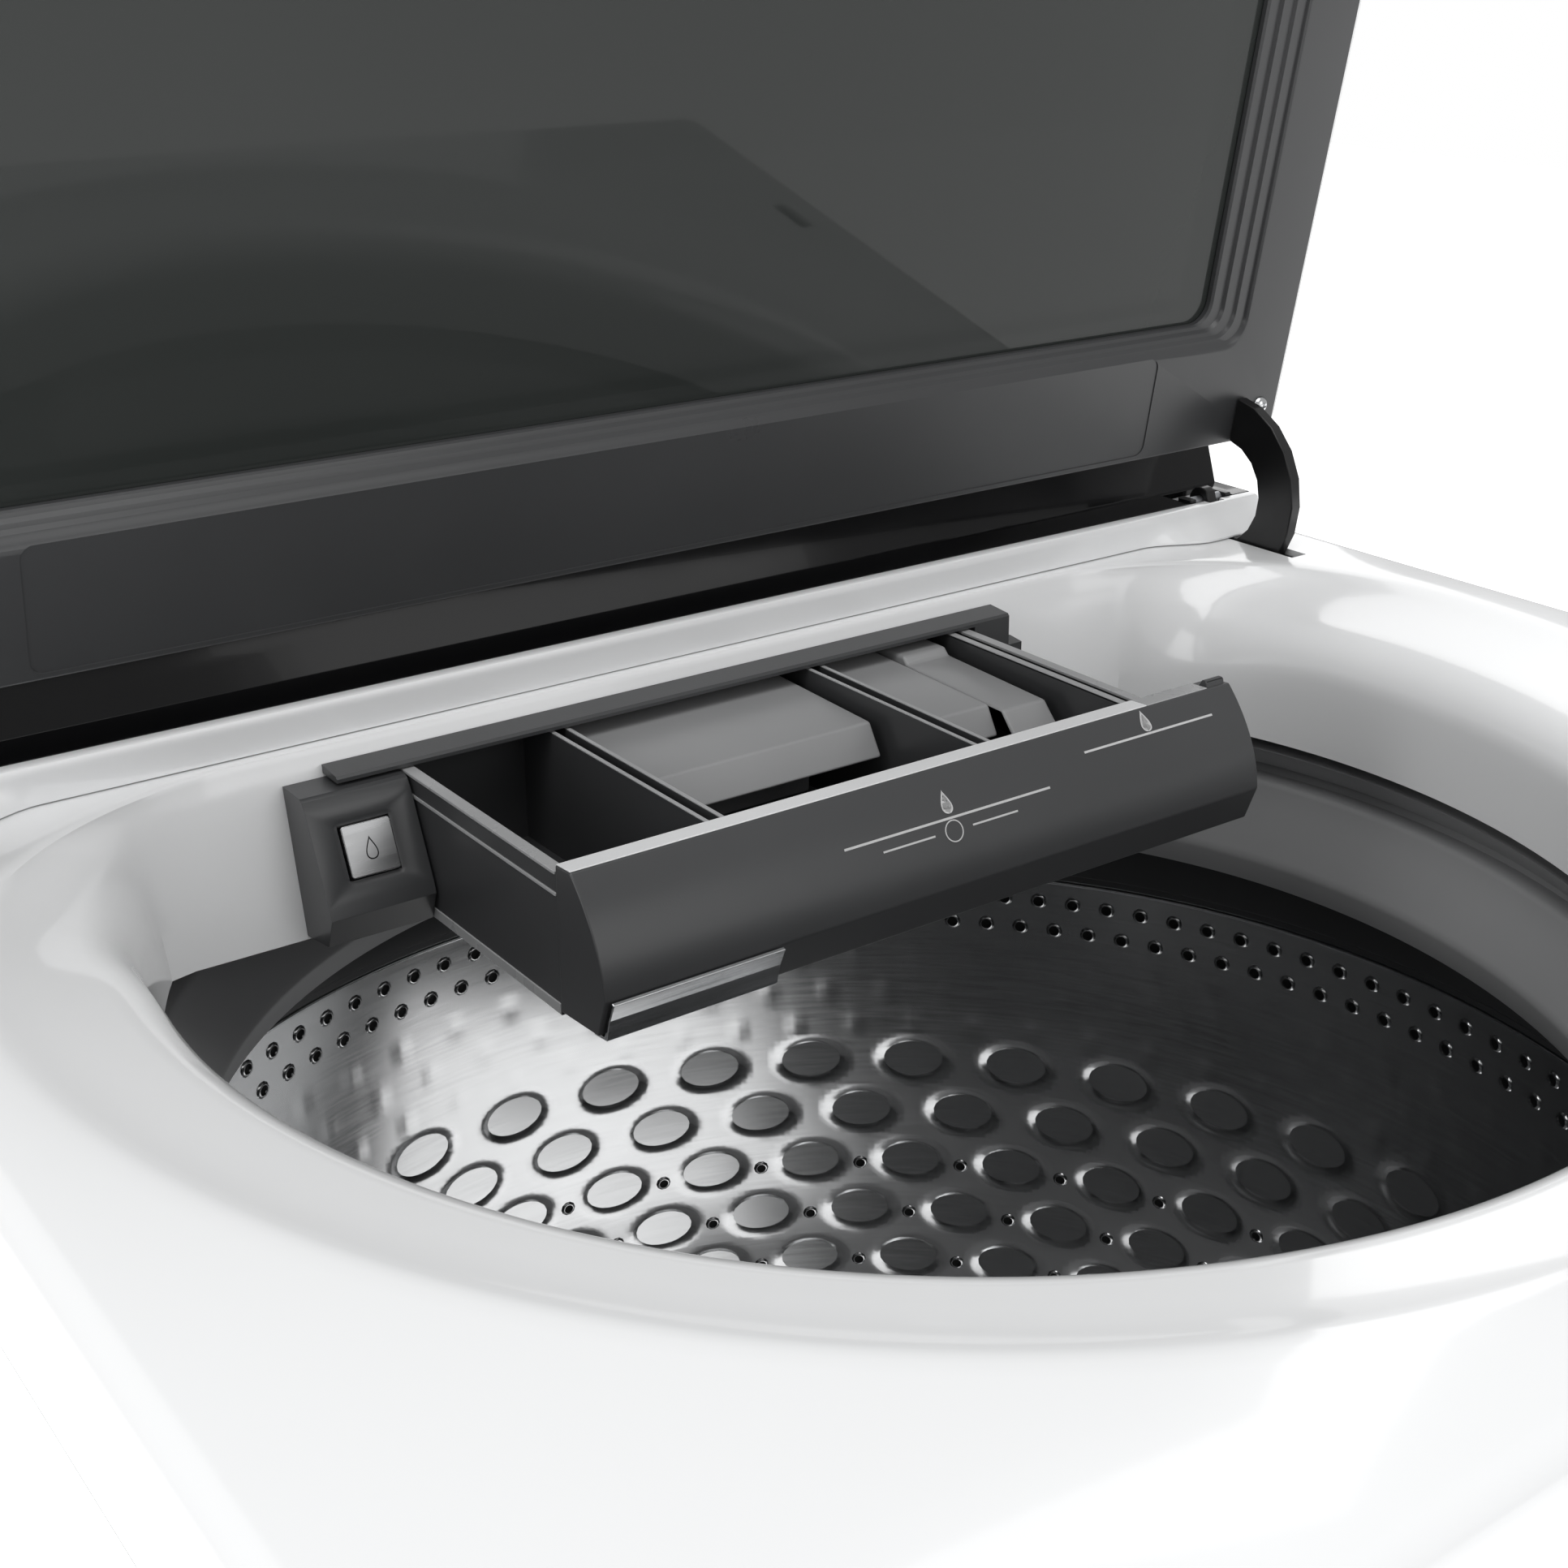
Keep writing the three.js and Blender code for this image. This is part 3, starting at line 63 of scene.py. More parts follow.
class WasherColours(bpy.types.PropertyGroup):
    """Colours of the mouldings and the floor."""

    white: colour_property("White", "Gloss white mouldings", (0.86, 0.866, 0.872))
    dark: colour_property("Dark Grey", "Drawer, bezel, faucet and inner lid", (0.050, 0.051, 0.053))
    ring: colour_property("Ring Grey", "Tub ring", (0.27, 0.272, 0.276))
    insert: colour_property("Insert Grey", "Covers and tabs inside the drawer", (0.30, 0.302, 0.306))
    black: colour_property("Black", "Hinge arms and small mouldings", (0.008, 0.008, 0.0085))
    floor: colour_property("Floor", "Studio floor", (0.88, 0.88, 0.88))


class WasherDrum(bpy.types.PropertyGroup):
    """Pressing of the basket's wall."""

    dimples: IntProperty(name="Dimples", description="Dimples in one row", default=36, min=12, max=60)
    rows: IntProperty(name="Rows", description="Rows of dimples", default=9, min=1, max=12)
    depth: length_property("Depth", "Depth of a dimple", 0.0055, 0.001, 0.006)
    step: length_property("Row Step", "Height from one row of dimples to the next", 0.0324, 0.028, 0.05)
    rim_holes: IntProperty(
        name="Rim Holes", description="Holes in each row near the rim", default=112, min=40, max=140,
    )


class WasherDeck(bpy.types.PropertyGroup):
    """Form of the deck round the mouth."""

    lip: length_property("Lip", "Rounding of the mouth's lip", 0.024, 0.012, 0.030)
    scoop: length_property("Scoop", "Depth of the hollows at the dish's rear corners", 0.004, 0.0, 0.008)


class WasherSettings(bpy.types.PropertyGroup):
    """All the settings of the washing machine."""

    colours: PointerProperty(type=WasherColours, name="Colours", description="Colours of the finishes")
    drum: PointerProperty(type=WasherDrum, name="Drum", description="Pressing of the basket")
    deck: PointerProperty(type=WasherDeck, name="Deck", description="Form of the deck")


def settings():
    """The washing machine's settings in this scene."""
    return bpy.context.scene.washer


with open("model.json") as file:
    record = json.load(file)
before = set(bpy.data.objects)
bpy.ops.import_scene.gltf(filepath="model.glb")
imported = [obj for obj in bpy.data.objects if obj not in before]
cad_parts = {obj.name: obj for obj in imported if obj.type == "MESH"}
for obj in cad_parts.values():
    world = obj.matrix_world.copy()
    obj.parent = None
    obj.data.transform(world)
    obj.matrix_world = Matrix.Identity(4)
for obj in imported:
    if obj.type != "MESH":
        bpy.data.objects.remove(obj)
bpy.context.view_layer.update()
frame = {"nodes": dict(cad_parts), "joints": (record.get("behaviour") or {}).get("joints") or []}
NODES = frame["nodes"]
MM = 0.001
SIDES = ("left", "right")
ENDS = ("front", "rear")


def corners(node):
    """Lowest and highest corner of a CAD node, in millimetres."""
    low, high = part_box(node)
    return low / MM, high / MM


# ---------- sizes read from the frame, in millimetres ----------
DECK_HIGH = corners("top_deck")[1]
DECK_Z = DECK_HIGH.z
HALF_W, HALF_D = DECK_HIGH.x, DECK_HIGH.y
RING_LOW, RING_HIGH = corners("tub_ring")
BASKET_LOW, BASKET_HIGH = corners("basket")
FRONT_HIGH = corners("drawer_front")[1]
BODY_LOW, BODY_HIGH = corners("drawer_body")
STRIP_LOW, STRIP_HIGH = corners("console_strip")
LID_JOINT = next(j for j in frame["joints"] if j["name"] == "lid_hinge")
HINGE = Vector(LID_JOINT["pos_m"]) / MM
LID_OPEN = math.radians(LID_JOINT["range_deg"][1])
OUT_OF_FACE = -Vector(next(j for j in frame["joints"] if j["name"] == "power_press")["axis"])
OUT_OF_SPOUT = -Vector(next(j for j in frame["joints"] if j["name"] == "faucet_press")["axis"])

# ---------- sizes of the visible shapes, in millimetres ----------
BASKET_WALL = 1.5
BASKET_IN = BASKET_HIGH.x - BASKET_WALL  # inside radius of the basket
MOUTH_R = BASKET_IN - 53.5  # radius of the mouth's foot
DISH_R = MOUTH_R + 59.5  # radius of the crease round the dish
DISH_CORNER = 135  # radius of the crease at the rear corners
DISH_FALL = 11  # fall of the dish from its crease to the lip
MOUTH_DEPTH = 69
STRIP_Y = STRIP_LOW.y + 12  # front face of the console's strip
REAR_TOP_Y = STRIP_Y - 5
REAR_LEAN = math.tan(math.radians(10.6))
SKIRT_H = DECK_Z - corners("cabinet_shell")[1].z - 0.4


def rear_wall(z):
    """Y of the mouth's rear wall, z millimetres above the deck."""
    return REAR_TOP_Y + z * REAR_LEAN


# ---------- shader maths ----------
class Value:
    """A node's output that takes part in sums written as Python."""

    def __init__(self, tree, socket):
        self.tree = tree
        self.socket = socket

    def __add__(self, other):
        node = self.tree.nodes.new("ShaderNodeMath")
        node.operation = "ADD"
        feed(self.tree, node.inputs[0], self)
        feed(self.tree, node.inputs[1], other)
        return Value(self.tree, node.outputs[0])

    __radd__ = __add__


def feed(tree, socket, value):
    """Links a Value to a socket, or sets a constant on it."""
    if isinstance(value, Value):
        tree.links.new(value.socket, socket)
    elif socket.type == "RGBA" and len(value) == 3:
        socket.default_value = (*value, 1)
    else:
        socket.default_value = value


class Finish:
    """A material: a Principled shader and the nodes that vary it over the surface."""

    def __init__(self, name, **constants):
        self.material = bpy.data.materials.new(name)
        self.material.use_nodes = True
        self.tree = self.material.node_tree
        self.shader = self.tree.nodes["Principled BSDF"]
        for key, value in constants.items():
            socket = key.replace("_", " ").title().replace("Ior", "IOR")
            feed(self.tree, self.shader.inputs[socket], value)

    def node(self, kind, setup=None, inputs=None, out=0):
        """Any node: its settings first, then its sockets' values or links."""
        node = self.tree.nodes.new("ShaderNode" + kind)
        for key, value in (setup or {}).items():
            if key == "stops":
                ramp = node.color_ramp
                for i, (place, color) in enumerate(value):
                    stop = ramp.elements[i] if i < 2 else ramp.elements.new(place)
                    stop.position = place
                    stop.color = (*color, 1)
            else:
                setattr(node, key, value)
        for key, value in (inputs or {}).items():
            feed(self.tree, node.inputs[key], value)
        return Value(self.tree, node.outputs[out])

    def place(self, stretch=(1, 1, 1)):
        """Object coordinates, stretched."""
        spot = self.node("TexCoord", out=3)
        return self.node("Mapping", inputs={"Vector": spot, "Scale": stretch})

    def noise(self, scale, detail=2.0, stretch=(1, 1, 1)):
        return self.node("TexNoise", inputs={
            "Vector": self.place(stretch), "Scale": scale, "Detail": detail,
        })

    def spread(self, value, low, high, out_low, out_high):
        """Value's stretch from low to high mapped on to out_low to out_high."""
        return self.node("MapRange", {"clamp": True}, {
            "Value": value, "From Min": low, "From Max": high, "To Min": out_low, "To Max": out_high,
        })

    def colour(self, factor, first, second):
        """A colour between two, by factor."""
        return self.node("ValToRGB", {"stops": [(0.0, first), (1.0, second)]}, {"Fac": factor})

    def drive(self, socket, value):
        feed(self.tree, self.shader.inputs[socket], value)

    def bump(self, height, strength, distance):
        self.drive("Normal", self.node("Bump", inputs={
            "Height": height, "Strength": strength, "Distance": distance,
        }))


# ---------- finishes ----------
FINISHES = {}


def finish(function):
    """Keeps one material for each finish function."""
    def once():
        if function.__name__ not in FINISHES:
            FINISHES[function.__name__] = function()
        return FINISHES[function.__name__]
    return once


@finish
def white_enamel():
    """Powder-coated steel sheet with a faint orange peel."""
    f = Finish("white_enamel", roughness=0.3, coat_weight=0.4, coat_roughness=0.12)
    tone = f.spread(f.noise(3.0, 3.0), 0.3, 0.7, 0.0, 1.0)
    f.drive("Base Color", f.colour(tone, (0.80, 0.81, 0.82), (0.84, 0.85, 0.855)))
    f.drive("Roughness", f.spread(f.noise(9.0, 4.0), 0.3, 0.7, 0.24, 0.34))
    f.bump(f.noise(420.0, 2.0), 0.12, 0.0004)
    return f.material


@finish
def white_gloss():
    """Moulded gloss white plastic."""
    f = Finish("white_gloss", coat_weight=0.6, coat_roughness=0.05, specular_ior_level=0.55)
    tone = f.spread(f.noise(2.2, 2.0), 0.3, 0.7, 0.0, 1.0)
    f.drive("Base Color", f.colour(tone, *shades(settings().colours.white, 0.012)))
    f.drive("Roughness", f.spread(f.noise(14.0, 5.0), 0.3, 0.7, 0.14, 0.24))
    f.bump(f.noise(60.0, 1.0), 0.04, 0.0008)
    return f.material


def shades(colour, share):
    """A colour made darker and lighter by a share."""
    return [tuple(part * (1 + sign * share) for part in colour) for sign in (-1, 1)]


def satin_plastic(name, colour, rough, grain=0.1):
    """Moulded plastic with a spark-eroded grain and slight handling wear."""
    f = Finish(name, specular_ior_level=0.5)
    tone = f.spread(f.noise(6.0, 4.0), 0.3, 0.7, 0.0, 1.0)
    f.drive("Base Color", f.colour(tone, *shades(colour, 0.1)))
    f.drive("Roughness", f.spread(f.noise(25.0, 5.0), 0.2, 0.8, rough - 0.03, rough + 0.03))
    f.bump(f.noise(1400.0, 2.0), grain, 0.0002)
    return f.material


@finish
def dark_plastic():
    return satin_plastic("dark_plastic", settings().colours.dark, 0.30)


@finish
def ring_plastic():
    return satin_plastic("ring_plastic", settings().colours.ring, 0.36)


@finish
def insert_plastic():
    return satin_plastic("insert_plastic", settings().colours.insert, 0.3)


@finish
def black_plastic():
    return satin_plastic("black_plastic", settings().colours.black, 0.3, 0.06)


@finish
def front_ledge_highlight_plastic():
    """Light strip along the top of the drawer's front wall: a painted highlight."""
    return satin_plastic("front_ledge_highlight_plastic", (0.74, 0.745, 0.75), 0.3)


@finish
def edge_highlight_plastic():
    """Lighter top edges of the drawer's walls: a painted highlight."""
    return satin_plastic("edge_highlight_plastic", (0.38, 0.383, 0.387), 0.28)


@finish
def black_gloss():
    """Polished black moulding with faint smears."""
    f = Finish("black_gloss", coat_weight=0.1, coat_roughness=0.03, specular_ior_level=0.22)
    f.drive("Base Color", f.colour(f.noise(5.0, 3.0), (0.004, 0.004, 0.0045), (0.009, 0.009, 0.0095)))
    f.drive("Roughness", f.spread(f.noise(18.0, 6.0), 0.35, 0.7, 0.08, 0.16))
    f.bump(f.noise(90.0, 1.0), 0.03, 0.0005)
    return f.material


@finish
def rubber():
    """Matt rubber with bloom and fine pitting."""
    f = Finish("rubber", specular_ior_level=0.3)
    f.drive("Base Color", f.colour(f.noise(40.0, 5.0), (0.012, 0.012, 0.012), (0.03, 0.03, 0.029)))
    f.drive("Roughness", f.spread(f.noise(90.0, 3.0), 0.3, 0.7, 0.6, 0.85))
    f.bump(f.noise(700.0, 3.0), 0.25, 0.0004)
    return f.material


@finish
def drum_steel():
    """Polished stainless sheet with a faint turned brushing."""
    f = Finish("drum_steel", metallic=1.0)
    cloud = f.noise(7.0, 4.0)
    f.drive("Base Color", f.colour(cloud, (0.50, 0.505, 0.51), (0.60, 0.605, 0.61)))
    streak = f.noise(30.0, 3.0, (1, 1, 24))
    f.drive("Roughness", f.spread(streak, 0.3, 0.7, 0.15, 0.20) + f.spread(cloud, 0.3, 0.7, 0.0, 0.04))
    f.bump(f.noise(11.0, 0.0, (1, 1, 0.5)), 0.03, 0.0015)
    return f.material


@finish
def cup_shade_steel():
    """Steel painted dark at the bottom of a dimple: painted shade for the pressing's hollow."""
    f = Finish("cup_shade_steel", metallic=1.0)
    cloud = f.noise(160.0, 3.0)
    f.drive("Base Color", f.colour(cloud, (0.07, 0.071, 0.073), (0.17, 0.172, 0.176)))
    f.drive("Roughness", f.spread(cloud, 0.3, 0.7, 0.16, 0.30))
    f.bump(cloud, 0.25, 0.0006)
    return f.material


@finish
def zinc():
    """Galvanised steel with its spangle."""
    f = Finish("zinc", metallic=1.0)
    spangle = f.node("TexVoronoi", {"feature": "F1"}, {"Vector": f.place(), "Scale": 90.0}, out=1)
    grey = f.node("RGBToBW", inputs={"Color": spangle})
    f.drive("Base Color", f.colour(grey, (0.38, 0.39, 0.41), (0.52, 0.53, 0.55)))
    f.drive("Roughness", f.spread(grey, 0.0, 1.0, 0.34, 0.5))
    f.bump(f.noise(300.0, 3.0), 0.08, 0.0003)
    return f.material


@finish
def cast_metal():
    """Cast aluminium, grainy and dull."""
    f = Finish("cast_metal", metallic=1.0)
    f.drive("Base Color", f.colour(f.noise(60.0, 5.0), (0.42, 0.42, 0.43), (0.56, 0.56, 0.57)))
    f.drive("Roughness", f.spread(f.noise(200.0, 4.0), 0.3, 0.7, 0.4, 0.58))
    f.bump(f.noise(500.0, 4.0), 0.3, 0.0004)
    return f.material


@finish
def chrome():
    """Bright plated trim, lightly brushed along X."""
    f = Finish("chrome", metallic=1.0)
    streak = f.noise(50.0, 4.0, (0.4, 10, 10))
    f.drive("Base Color", f.colour(streak, (0.60, 0.61, 0.62), (0.72, 0.73, 0.74)))
    f.drive("Roughness", f.spread(streak, 0.3, 0.7, 0.12, 0.22))
    f.bump(streak, 0.04, 0.0002)
    return f.material


@finish
def satin_metal():
    """Dark satin plating of the faucet's button."""
    f = Finish("satin_metal", metallic=1.0)
    streak = f.noise(40.0, 4.0, (0.4, 8, 8))
    f.drive("Base Color", f.colour(streak, (0.30, 0.303, 0.307), (0.40, 0.403, 0.407)))
    f.drive("Roughness", f.spread(streak, 0.3, 0.7, 0.24, 0.34))
    f.bump(streak, 0.01, 0.0001)
    return f.material


@finish
def tinted_glass():
    """Dark tempered glass with faint smears."""
    f = Finish("tinted_glass", specular_ior_level=0.3, ior=1.5)
    smear = f.noise(4.0, 5.0)
    f.drive("Base Color", f.colour(smear, (0.030, 0.0335, 0.032), (0.036, 0.040, 0.038)))
    f.drive("Roughness", f.spread(smear, 0.35, 0.7, 0.02, 0.06))
    f.drive("Alpha", 0.94)
    return f.material


@finish
def resin():
    """Cloudy white polypropylene."""
    f = Finish("resin", subsurface_weight=0.1, subsurface_radius=(0.004, 0.004, 0.004))
    f.drive("Base Color", f.colour(f.noise(12.0, 5.0), (0.60, 0.60, 0.575), (0.70, 0.70, 0.68)))
    f.drive("Roughness", f.spread(f.noise(30.0, 4.0), 0.3, 0.7, 0.42, 0.58))
    f.bump(f.noise(600.0, 2.0), 0.12, 0.0003)
    return f.material


@finish
def board_green():
    """Circuit board with a mottled solder mask."""
    f = Finish("board_green", coat_weight=0.3)
    f.drive("Base Color", f.colour(f.noise(220.0, 2.0), (0.006, 0.05, 0.02), (0.015, 0.09, 0.035)))
    f.drive("Roughness", f.spread(f.noise(80.0, 3.0), 0.3, 0.7, 0.3, 0.5))
    f.bump(f.noise(800.0, 1.0), 0.2, 0.0003)
    return f.material


@finish
def ink():
    """Light printed marks."""
    f = Finish("ink", roughness=0.5)
    f.drive("Base Color", f.colour(f.noise(300.0, 2.0), (0.52, 0.52, 0.52), (0.62, 0.62, 0.62)))
    return f.material


@finish
def hole_black():
    """Shadowed inside of the punched holes."""
    f = Finish("hole_black", specular_ior_level=0.2)
    f.drive("Base Color", f.colour(f.noise(200.0, 2.0), (0.002, 0.002, 0.002), (0.006, 0.006, 0.006)))
    f.drive("Roughness", f.spread(f.noise(90.0, 2.0), 0.3, 0.7, 0.5, 0.7))
    return f.material


@finish
def floor_paint():
    """Seamless studio floor."""
    f = Finish("floor_paint", roughness=0.6, emission_strength=0.8)
    f.drive("Emission Color", (1, 1, 1))
    f.drive("Base Color", f.colour(f.noise(0.8, 2.0), *shades(settings().colours.floor, 0.01)))
    return f.material


# ---------- shape helpers; shapes are drawn in millimetres ----------
WELD = 1e-3  # points closer than this become one


def loft(bm, rings, closed=False, caps=False):
    """Skin through rings of points; every ring has as many points as the first."""
    loops = []
    for ring in rings:
        verts = [bm.verts.new(p) for p in ring]
        loops.append([bm.edges.new((a, b)) for a, b in zip(verts, verts[1:] + verts[:1])])
    for first, second in zip(loops, loops[1:] + ([loops[0]] if closed else [])):
        bmesh.ops.bridge_loops(bm, edges=first + second)
    if caps:
        for loop in (loops[0], loops[-1]):
            bmesh.ops.contextual_create(bm, geom=loop)
    return bm


def rounded_rect(x0, x1, y0, y1, r, z, steps=6):
    """Ring of points round a rectangle with round corners, counter-clockwise."""
    ring = []
    centres = ((x1 - r, y1 - r), (x0 + r, y1 - r), (x0 + r, y0 + r), (x1 - r, y0 + r))
    for start, (cx, cy) in zip((0, 90, 180, 270), centres):
        for i in range(steps + 1):
            a = math.radians(start + 90 * i / steps)
            ring.append(Vector((cx + r * math.cos(a), cy + r * math.sin(a), z)))
    return ring


def arc(cx, cy, r, start, end, steps):
    """Points on an arc, angles in degrees."""
    return [
        (cx + r * math.cos(math.radians(start + (end - start) * i / steps)),
         cy + r * math.sin(math.radians(start + (end - start) * i / steps)))
        for i in range(steps + 1)
    ]


def turned(bm, profile, sides=96):
    """A closed profile of (radius, z) spun about the vertical axis."""
    verts = [bm.verts.new((r, 0, z)) for r, z in profile]
    edges = [bm.edges.new((a, b)) for a, b in zip(verts, verts[1:] + verts[:1])]
    bmesh.ops.spin(
        bm, geom=verts + edges, cent=(0, 0, 0), axis=(0, 0, 1), angle=2 * math.pi, steps=sides,
        use_merge=True,
    )
    return bm


def across(bm, outline, x0, x1):
    """An outline in (y, z) drawn out from x0 to x1."""
    return loft(bm, [[Vector((x, y, z)) for y, z in outline] for x in (x0, x1)], caps=True)


def block(bm, low, high):
    """A box between two corners."""
    middle = (Vector(low) + Vector(high)) / 2
    size = Vector(high) - Vector(low)
    bmesh.ops.create_cube(bm, size=1, matrix=Matrix.Translation(middle) @ Matrix.Diagonal((*size, 1)))
    return bm


def copy_into(bm, other):
    """Adds one bmesh's shape to another and frees it."""
    bmesh.ops.recalc_face_normals(other, faces=other.faces)
    mesh = bpy.data.meshes.new("copy")
    other.to_mesh(mesh)
    other.free()
    bm.from_mesh(mesh)
    bpy.data.meshes.remove(mesh)


def onto(normal, at):
    """Matrix that stands a shape drawn on z = 0 on a sloping face, its X kept level."""
    up = Vector(normal).normalized()
    across_face = Vector((1, 0, 0))
    turn = Matrix((across_face, up.cross(across_face), up)).transposed().to_4x4()
    return Matrix.Translation(at) @ turn


def lid_turn():
    """Matrix that opens what is drawn about the hinge axis, closed."""
    return Matrix.Translation(HINGE) @ Matrix.Rotation(-LID_OPEN, 4, "X")


def soften(obj, width, segments=3, angle=30):
    """Rounds an object's edges."""
    bevel = obj.modifiers.new("soft_edges", "BEVEL")
    bevel.width = width * MM
    bevel.segments = segments
    bevel.limit_method = "ANGLE"
    bevel.angle_limit = math.radians(angle)
    bevel.harden_normals = True
    return obj


def piece(name, bm, material, body, nodes=(), smooth=32, normals=True):
    """Makes an object of a shape drawn in millimetres, and places it on its body."""
    bmesh.ops.remove_doubles(bm, verts=bm.verts, dist=WELD)
    bare = [edge for edge in bm.edges if not edge.link_faces]
    bmesh.ops.delete(bm, geom=bare, context="EDGES")
    if normals:
        bmesh.ops.recalc_face_normals(bm, faces=bm.faces)
    bm.transform(Matrix.Scale(MM, 4))
    mesh = bpy.data.meshes.new(name)
    bm.to_mesh(mesh)
    bm.free()
    mesh.shade_smooth()
    mesh.set_sharp_from_angle(angle=math.radians(smooth))
    for part in material if isinstance(material, (list, tuple)) else [material]:
        mesh.materials.append(part)
    obj = bpy.data.objects.new(name, mesh)
    bpy.context.scene.collection.objects.link(obj)
    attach(obj, body)
    if nodes:
        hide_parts(*nodes)
    return obj


def pared(obj, cutters):
    """Cuts shapes out of an object; cutters are bmeshes drawn in millimetres."""
    tool_bm = bmesh.new()
    for make in cutters:
        make(tool_bm)
    bmesh.ops.recalc_face_normals(tool_bm, faces=tool_bm.faces)
    tool_bm.transform(Matrix.Scale(MM, 4))
    mesh = bpy.data.meshes.new("cutter")
    tool_bm.to_mesh(mesh)
    tool_bm.free()
    tool = bpy.data.objects.new("cutter", mesh)
    bpy.context.scene.collection.objects.link(tool)
    cutting = obj.modifiers.new("cut", "BOOLEAN")
    cutting.object = tool
    cutting.operation = "DIFFERENCE"
    cutting.solver = "EXACT"
    bake_modifiers(obj)
    bpy.data.objects.remove(tool)
    if not obj.data.polygons:
        raise RuntimeError(f"the cut left nothing of {obj.name}")
    return obj


def bake_modifiers(obj):
    """Applies an object's modifiers to its mesh."""
    bpy.context.view_layer.update()
    graph = bpy.context.evaluated_depsgraph_get()
    made = bpy.data.meshes.new_from_object(obj.evaluated_get(graph))
    obj.modifiers.clear()
    obj.data = made


def refined(node, material, body, width=0.7, segments=2, smooth=32):
    """A CAD node's shape with its edges rounded."""
    bm = bmesh.new()
    bm.from_mesh(NODES[node].data)
    bm.transform(Matrix.Scale(1 / MM, 4))
    bmesh.ops.remove_doubles(bm, verts=bm.verts, dist=WELD)
    bmesh.ops.dissolve_limit(bm, angle_limit=math.radians(0.5), verts=bm.verts, edges=bm.edges)
    obj = piece(node + "_shape", bm, material, body, [node], smooth, normals=False)
    return soften(obj, width, segments)


def repaint(node, material):
    """Gives a CAD node its material."""
    NODES[node].data.materials.clear()
    NODES[node].data.materials.append(material)


def smoothstep(x, low, high):
    """0 below low, 1 above high, and a smooth rise between."""
    t = min(1.0, max(0.0, (x - low) / (high - low)))
    return t * t * (3 - 2 * t)


# ---------- deck ----------
TURN_STEP = 1.5  # degrees between the rays that the deck is drawn on
DECK_EDGE = 10  # rounding of the deck's top edge
DECK_CORNER = 14
DECK_WALL = 3


def crease_radius(a):
    """Distance from the drum's axis to the crease round the dish, at angle a in radians."""
    a = abs(math.pi / 2 - a) if a <= math.pi else -1
    if a < 0:
        return DISH_R
    a = math.pi / 2 - a
    cy = REAR_TOP_Y - DISH_CORNER
    cx = math.sqrt((DISH_R - DISH_CORNER) ** 2 - cy ** 2)
    if a < math.atan2(cy, cx):
        return DISH_R
    if a > math.atan2(REAR_TOP_Y, cx):
        return REAR_TOP_Y / math.sin(a)
    off = a - math.atan2(cy, cx)
    d = math.hypot(cx, cy)
    return d * math.cos(off) + math.sqrt(DISH_CORNER ** 2 - (d * math.sin(off)) ** 2)


def mouth_radius(a):
    """Distance from the drum's axis to the foot of the mouth's wall."""
    foot = rear_wall(-MOUTH_DEPTH)
    wall = foot / max(math.sin(a), 1e-6) if math.sin(a) > 0 else 1e6
    soft = 6
    h = max(0.0, soft - abs(MOUTH_R - wall)) / soft
    return min(MOUTH_R, wall) - h * h * soft / 4


def rim_point(a, out):
    """Point on the deck's outline, moved `out` from the outline that lies DECK_EDGE inside."""
    r, x, y = DECK_CORNER - DECK_EDGE, HALF_W - DECK_EDGE, HALF_D - DECK_EDGE
    c, s = math.cos(a), math.sin(a)
    if abs(s) * x <= abs(c) * (y - r):
        at, normal = Vector((math.copysign(x, c), s / abs(c) * x, 0)), Vector((math.copysign(1, c), 0, 0))
    elif abs(c) * y <= abs(s) * (x - r):
        at, normal = Vector((c / abs(s) * y, math.copysign(y, s), 0)), Vector((0, math.copysign(1, s), 0))
    else:
        middle = Vector((math.copysign(x - r, c), math.copysign(y - r, s), 0))
        ray = Vector((c, s, 0))
        along = ray.dot(middle)
        at = ray * (along + math.sqrt(max(0.0, r * r - middle.length_squared + along * along)))
        normal = (at - middle).normalized()
    return at + normal * out


def dish_profile():
    """Front and rear profiles of the mouth.

    Each point is (share of the way out to the crease, millimetres more, z).
    """
    wide = DISH_R - MOUTH_R
    lip = settings().deck.lip / MM
    front = [(1, 8, 0), (1, 3, -0.05), (1, 0, -0.4), (1, -3, -1.0)]
    front += [(0.86, 0, -3.0), (0.70, 0, -5.8), (0.55, 0, -8.2)]
    for i in range(10):
        t = math.radians(80 - 80 * i / 9)
        front.append((lip * (1 - math.cos(t)) / wide, 0, -DISH_FALL - lip * (1 - math.sin(t))))
    front += [(0, 0, -43), (0, 0, -52), (0, 0, -61), (0, 0, -MOUTH_DEPTH)]
    rear = [(1, 8, 0), (1, 3, 0), (1, 1.4, -0.3), (1, 0.4, -1.3), (1, 0, -2.8)]
    left = len(front) - len(rear)
    for i in range(1, left + 1):
        z = -2.8 - (MOUTH_DEPTH - 2.8) * i / left
        rear.append((1 + z / MOUTH_DEPTH, 0, z))
    return front, rear


def wall_share(a):
    """How much of the profile at angle a is the rear wall's: 1 at the rear, 0 at the front."""
    from_rear = abs(math.degrees(a) - 90)
    return 1 - smoothstep(from_rear, 50, 84)


def scoop(a, t):
    """Depth of the two hollows that soften the dish's rear corners."""
    from_rear = abs(math.degrees(a) - 90)
    bell = math.exp(-((from_rear - 72) / 9) ** 2)
    return settings().deck.scoop / MM * bell * math.sin(math.pi * min(1.0, max(0.0, t)))


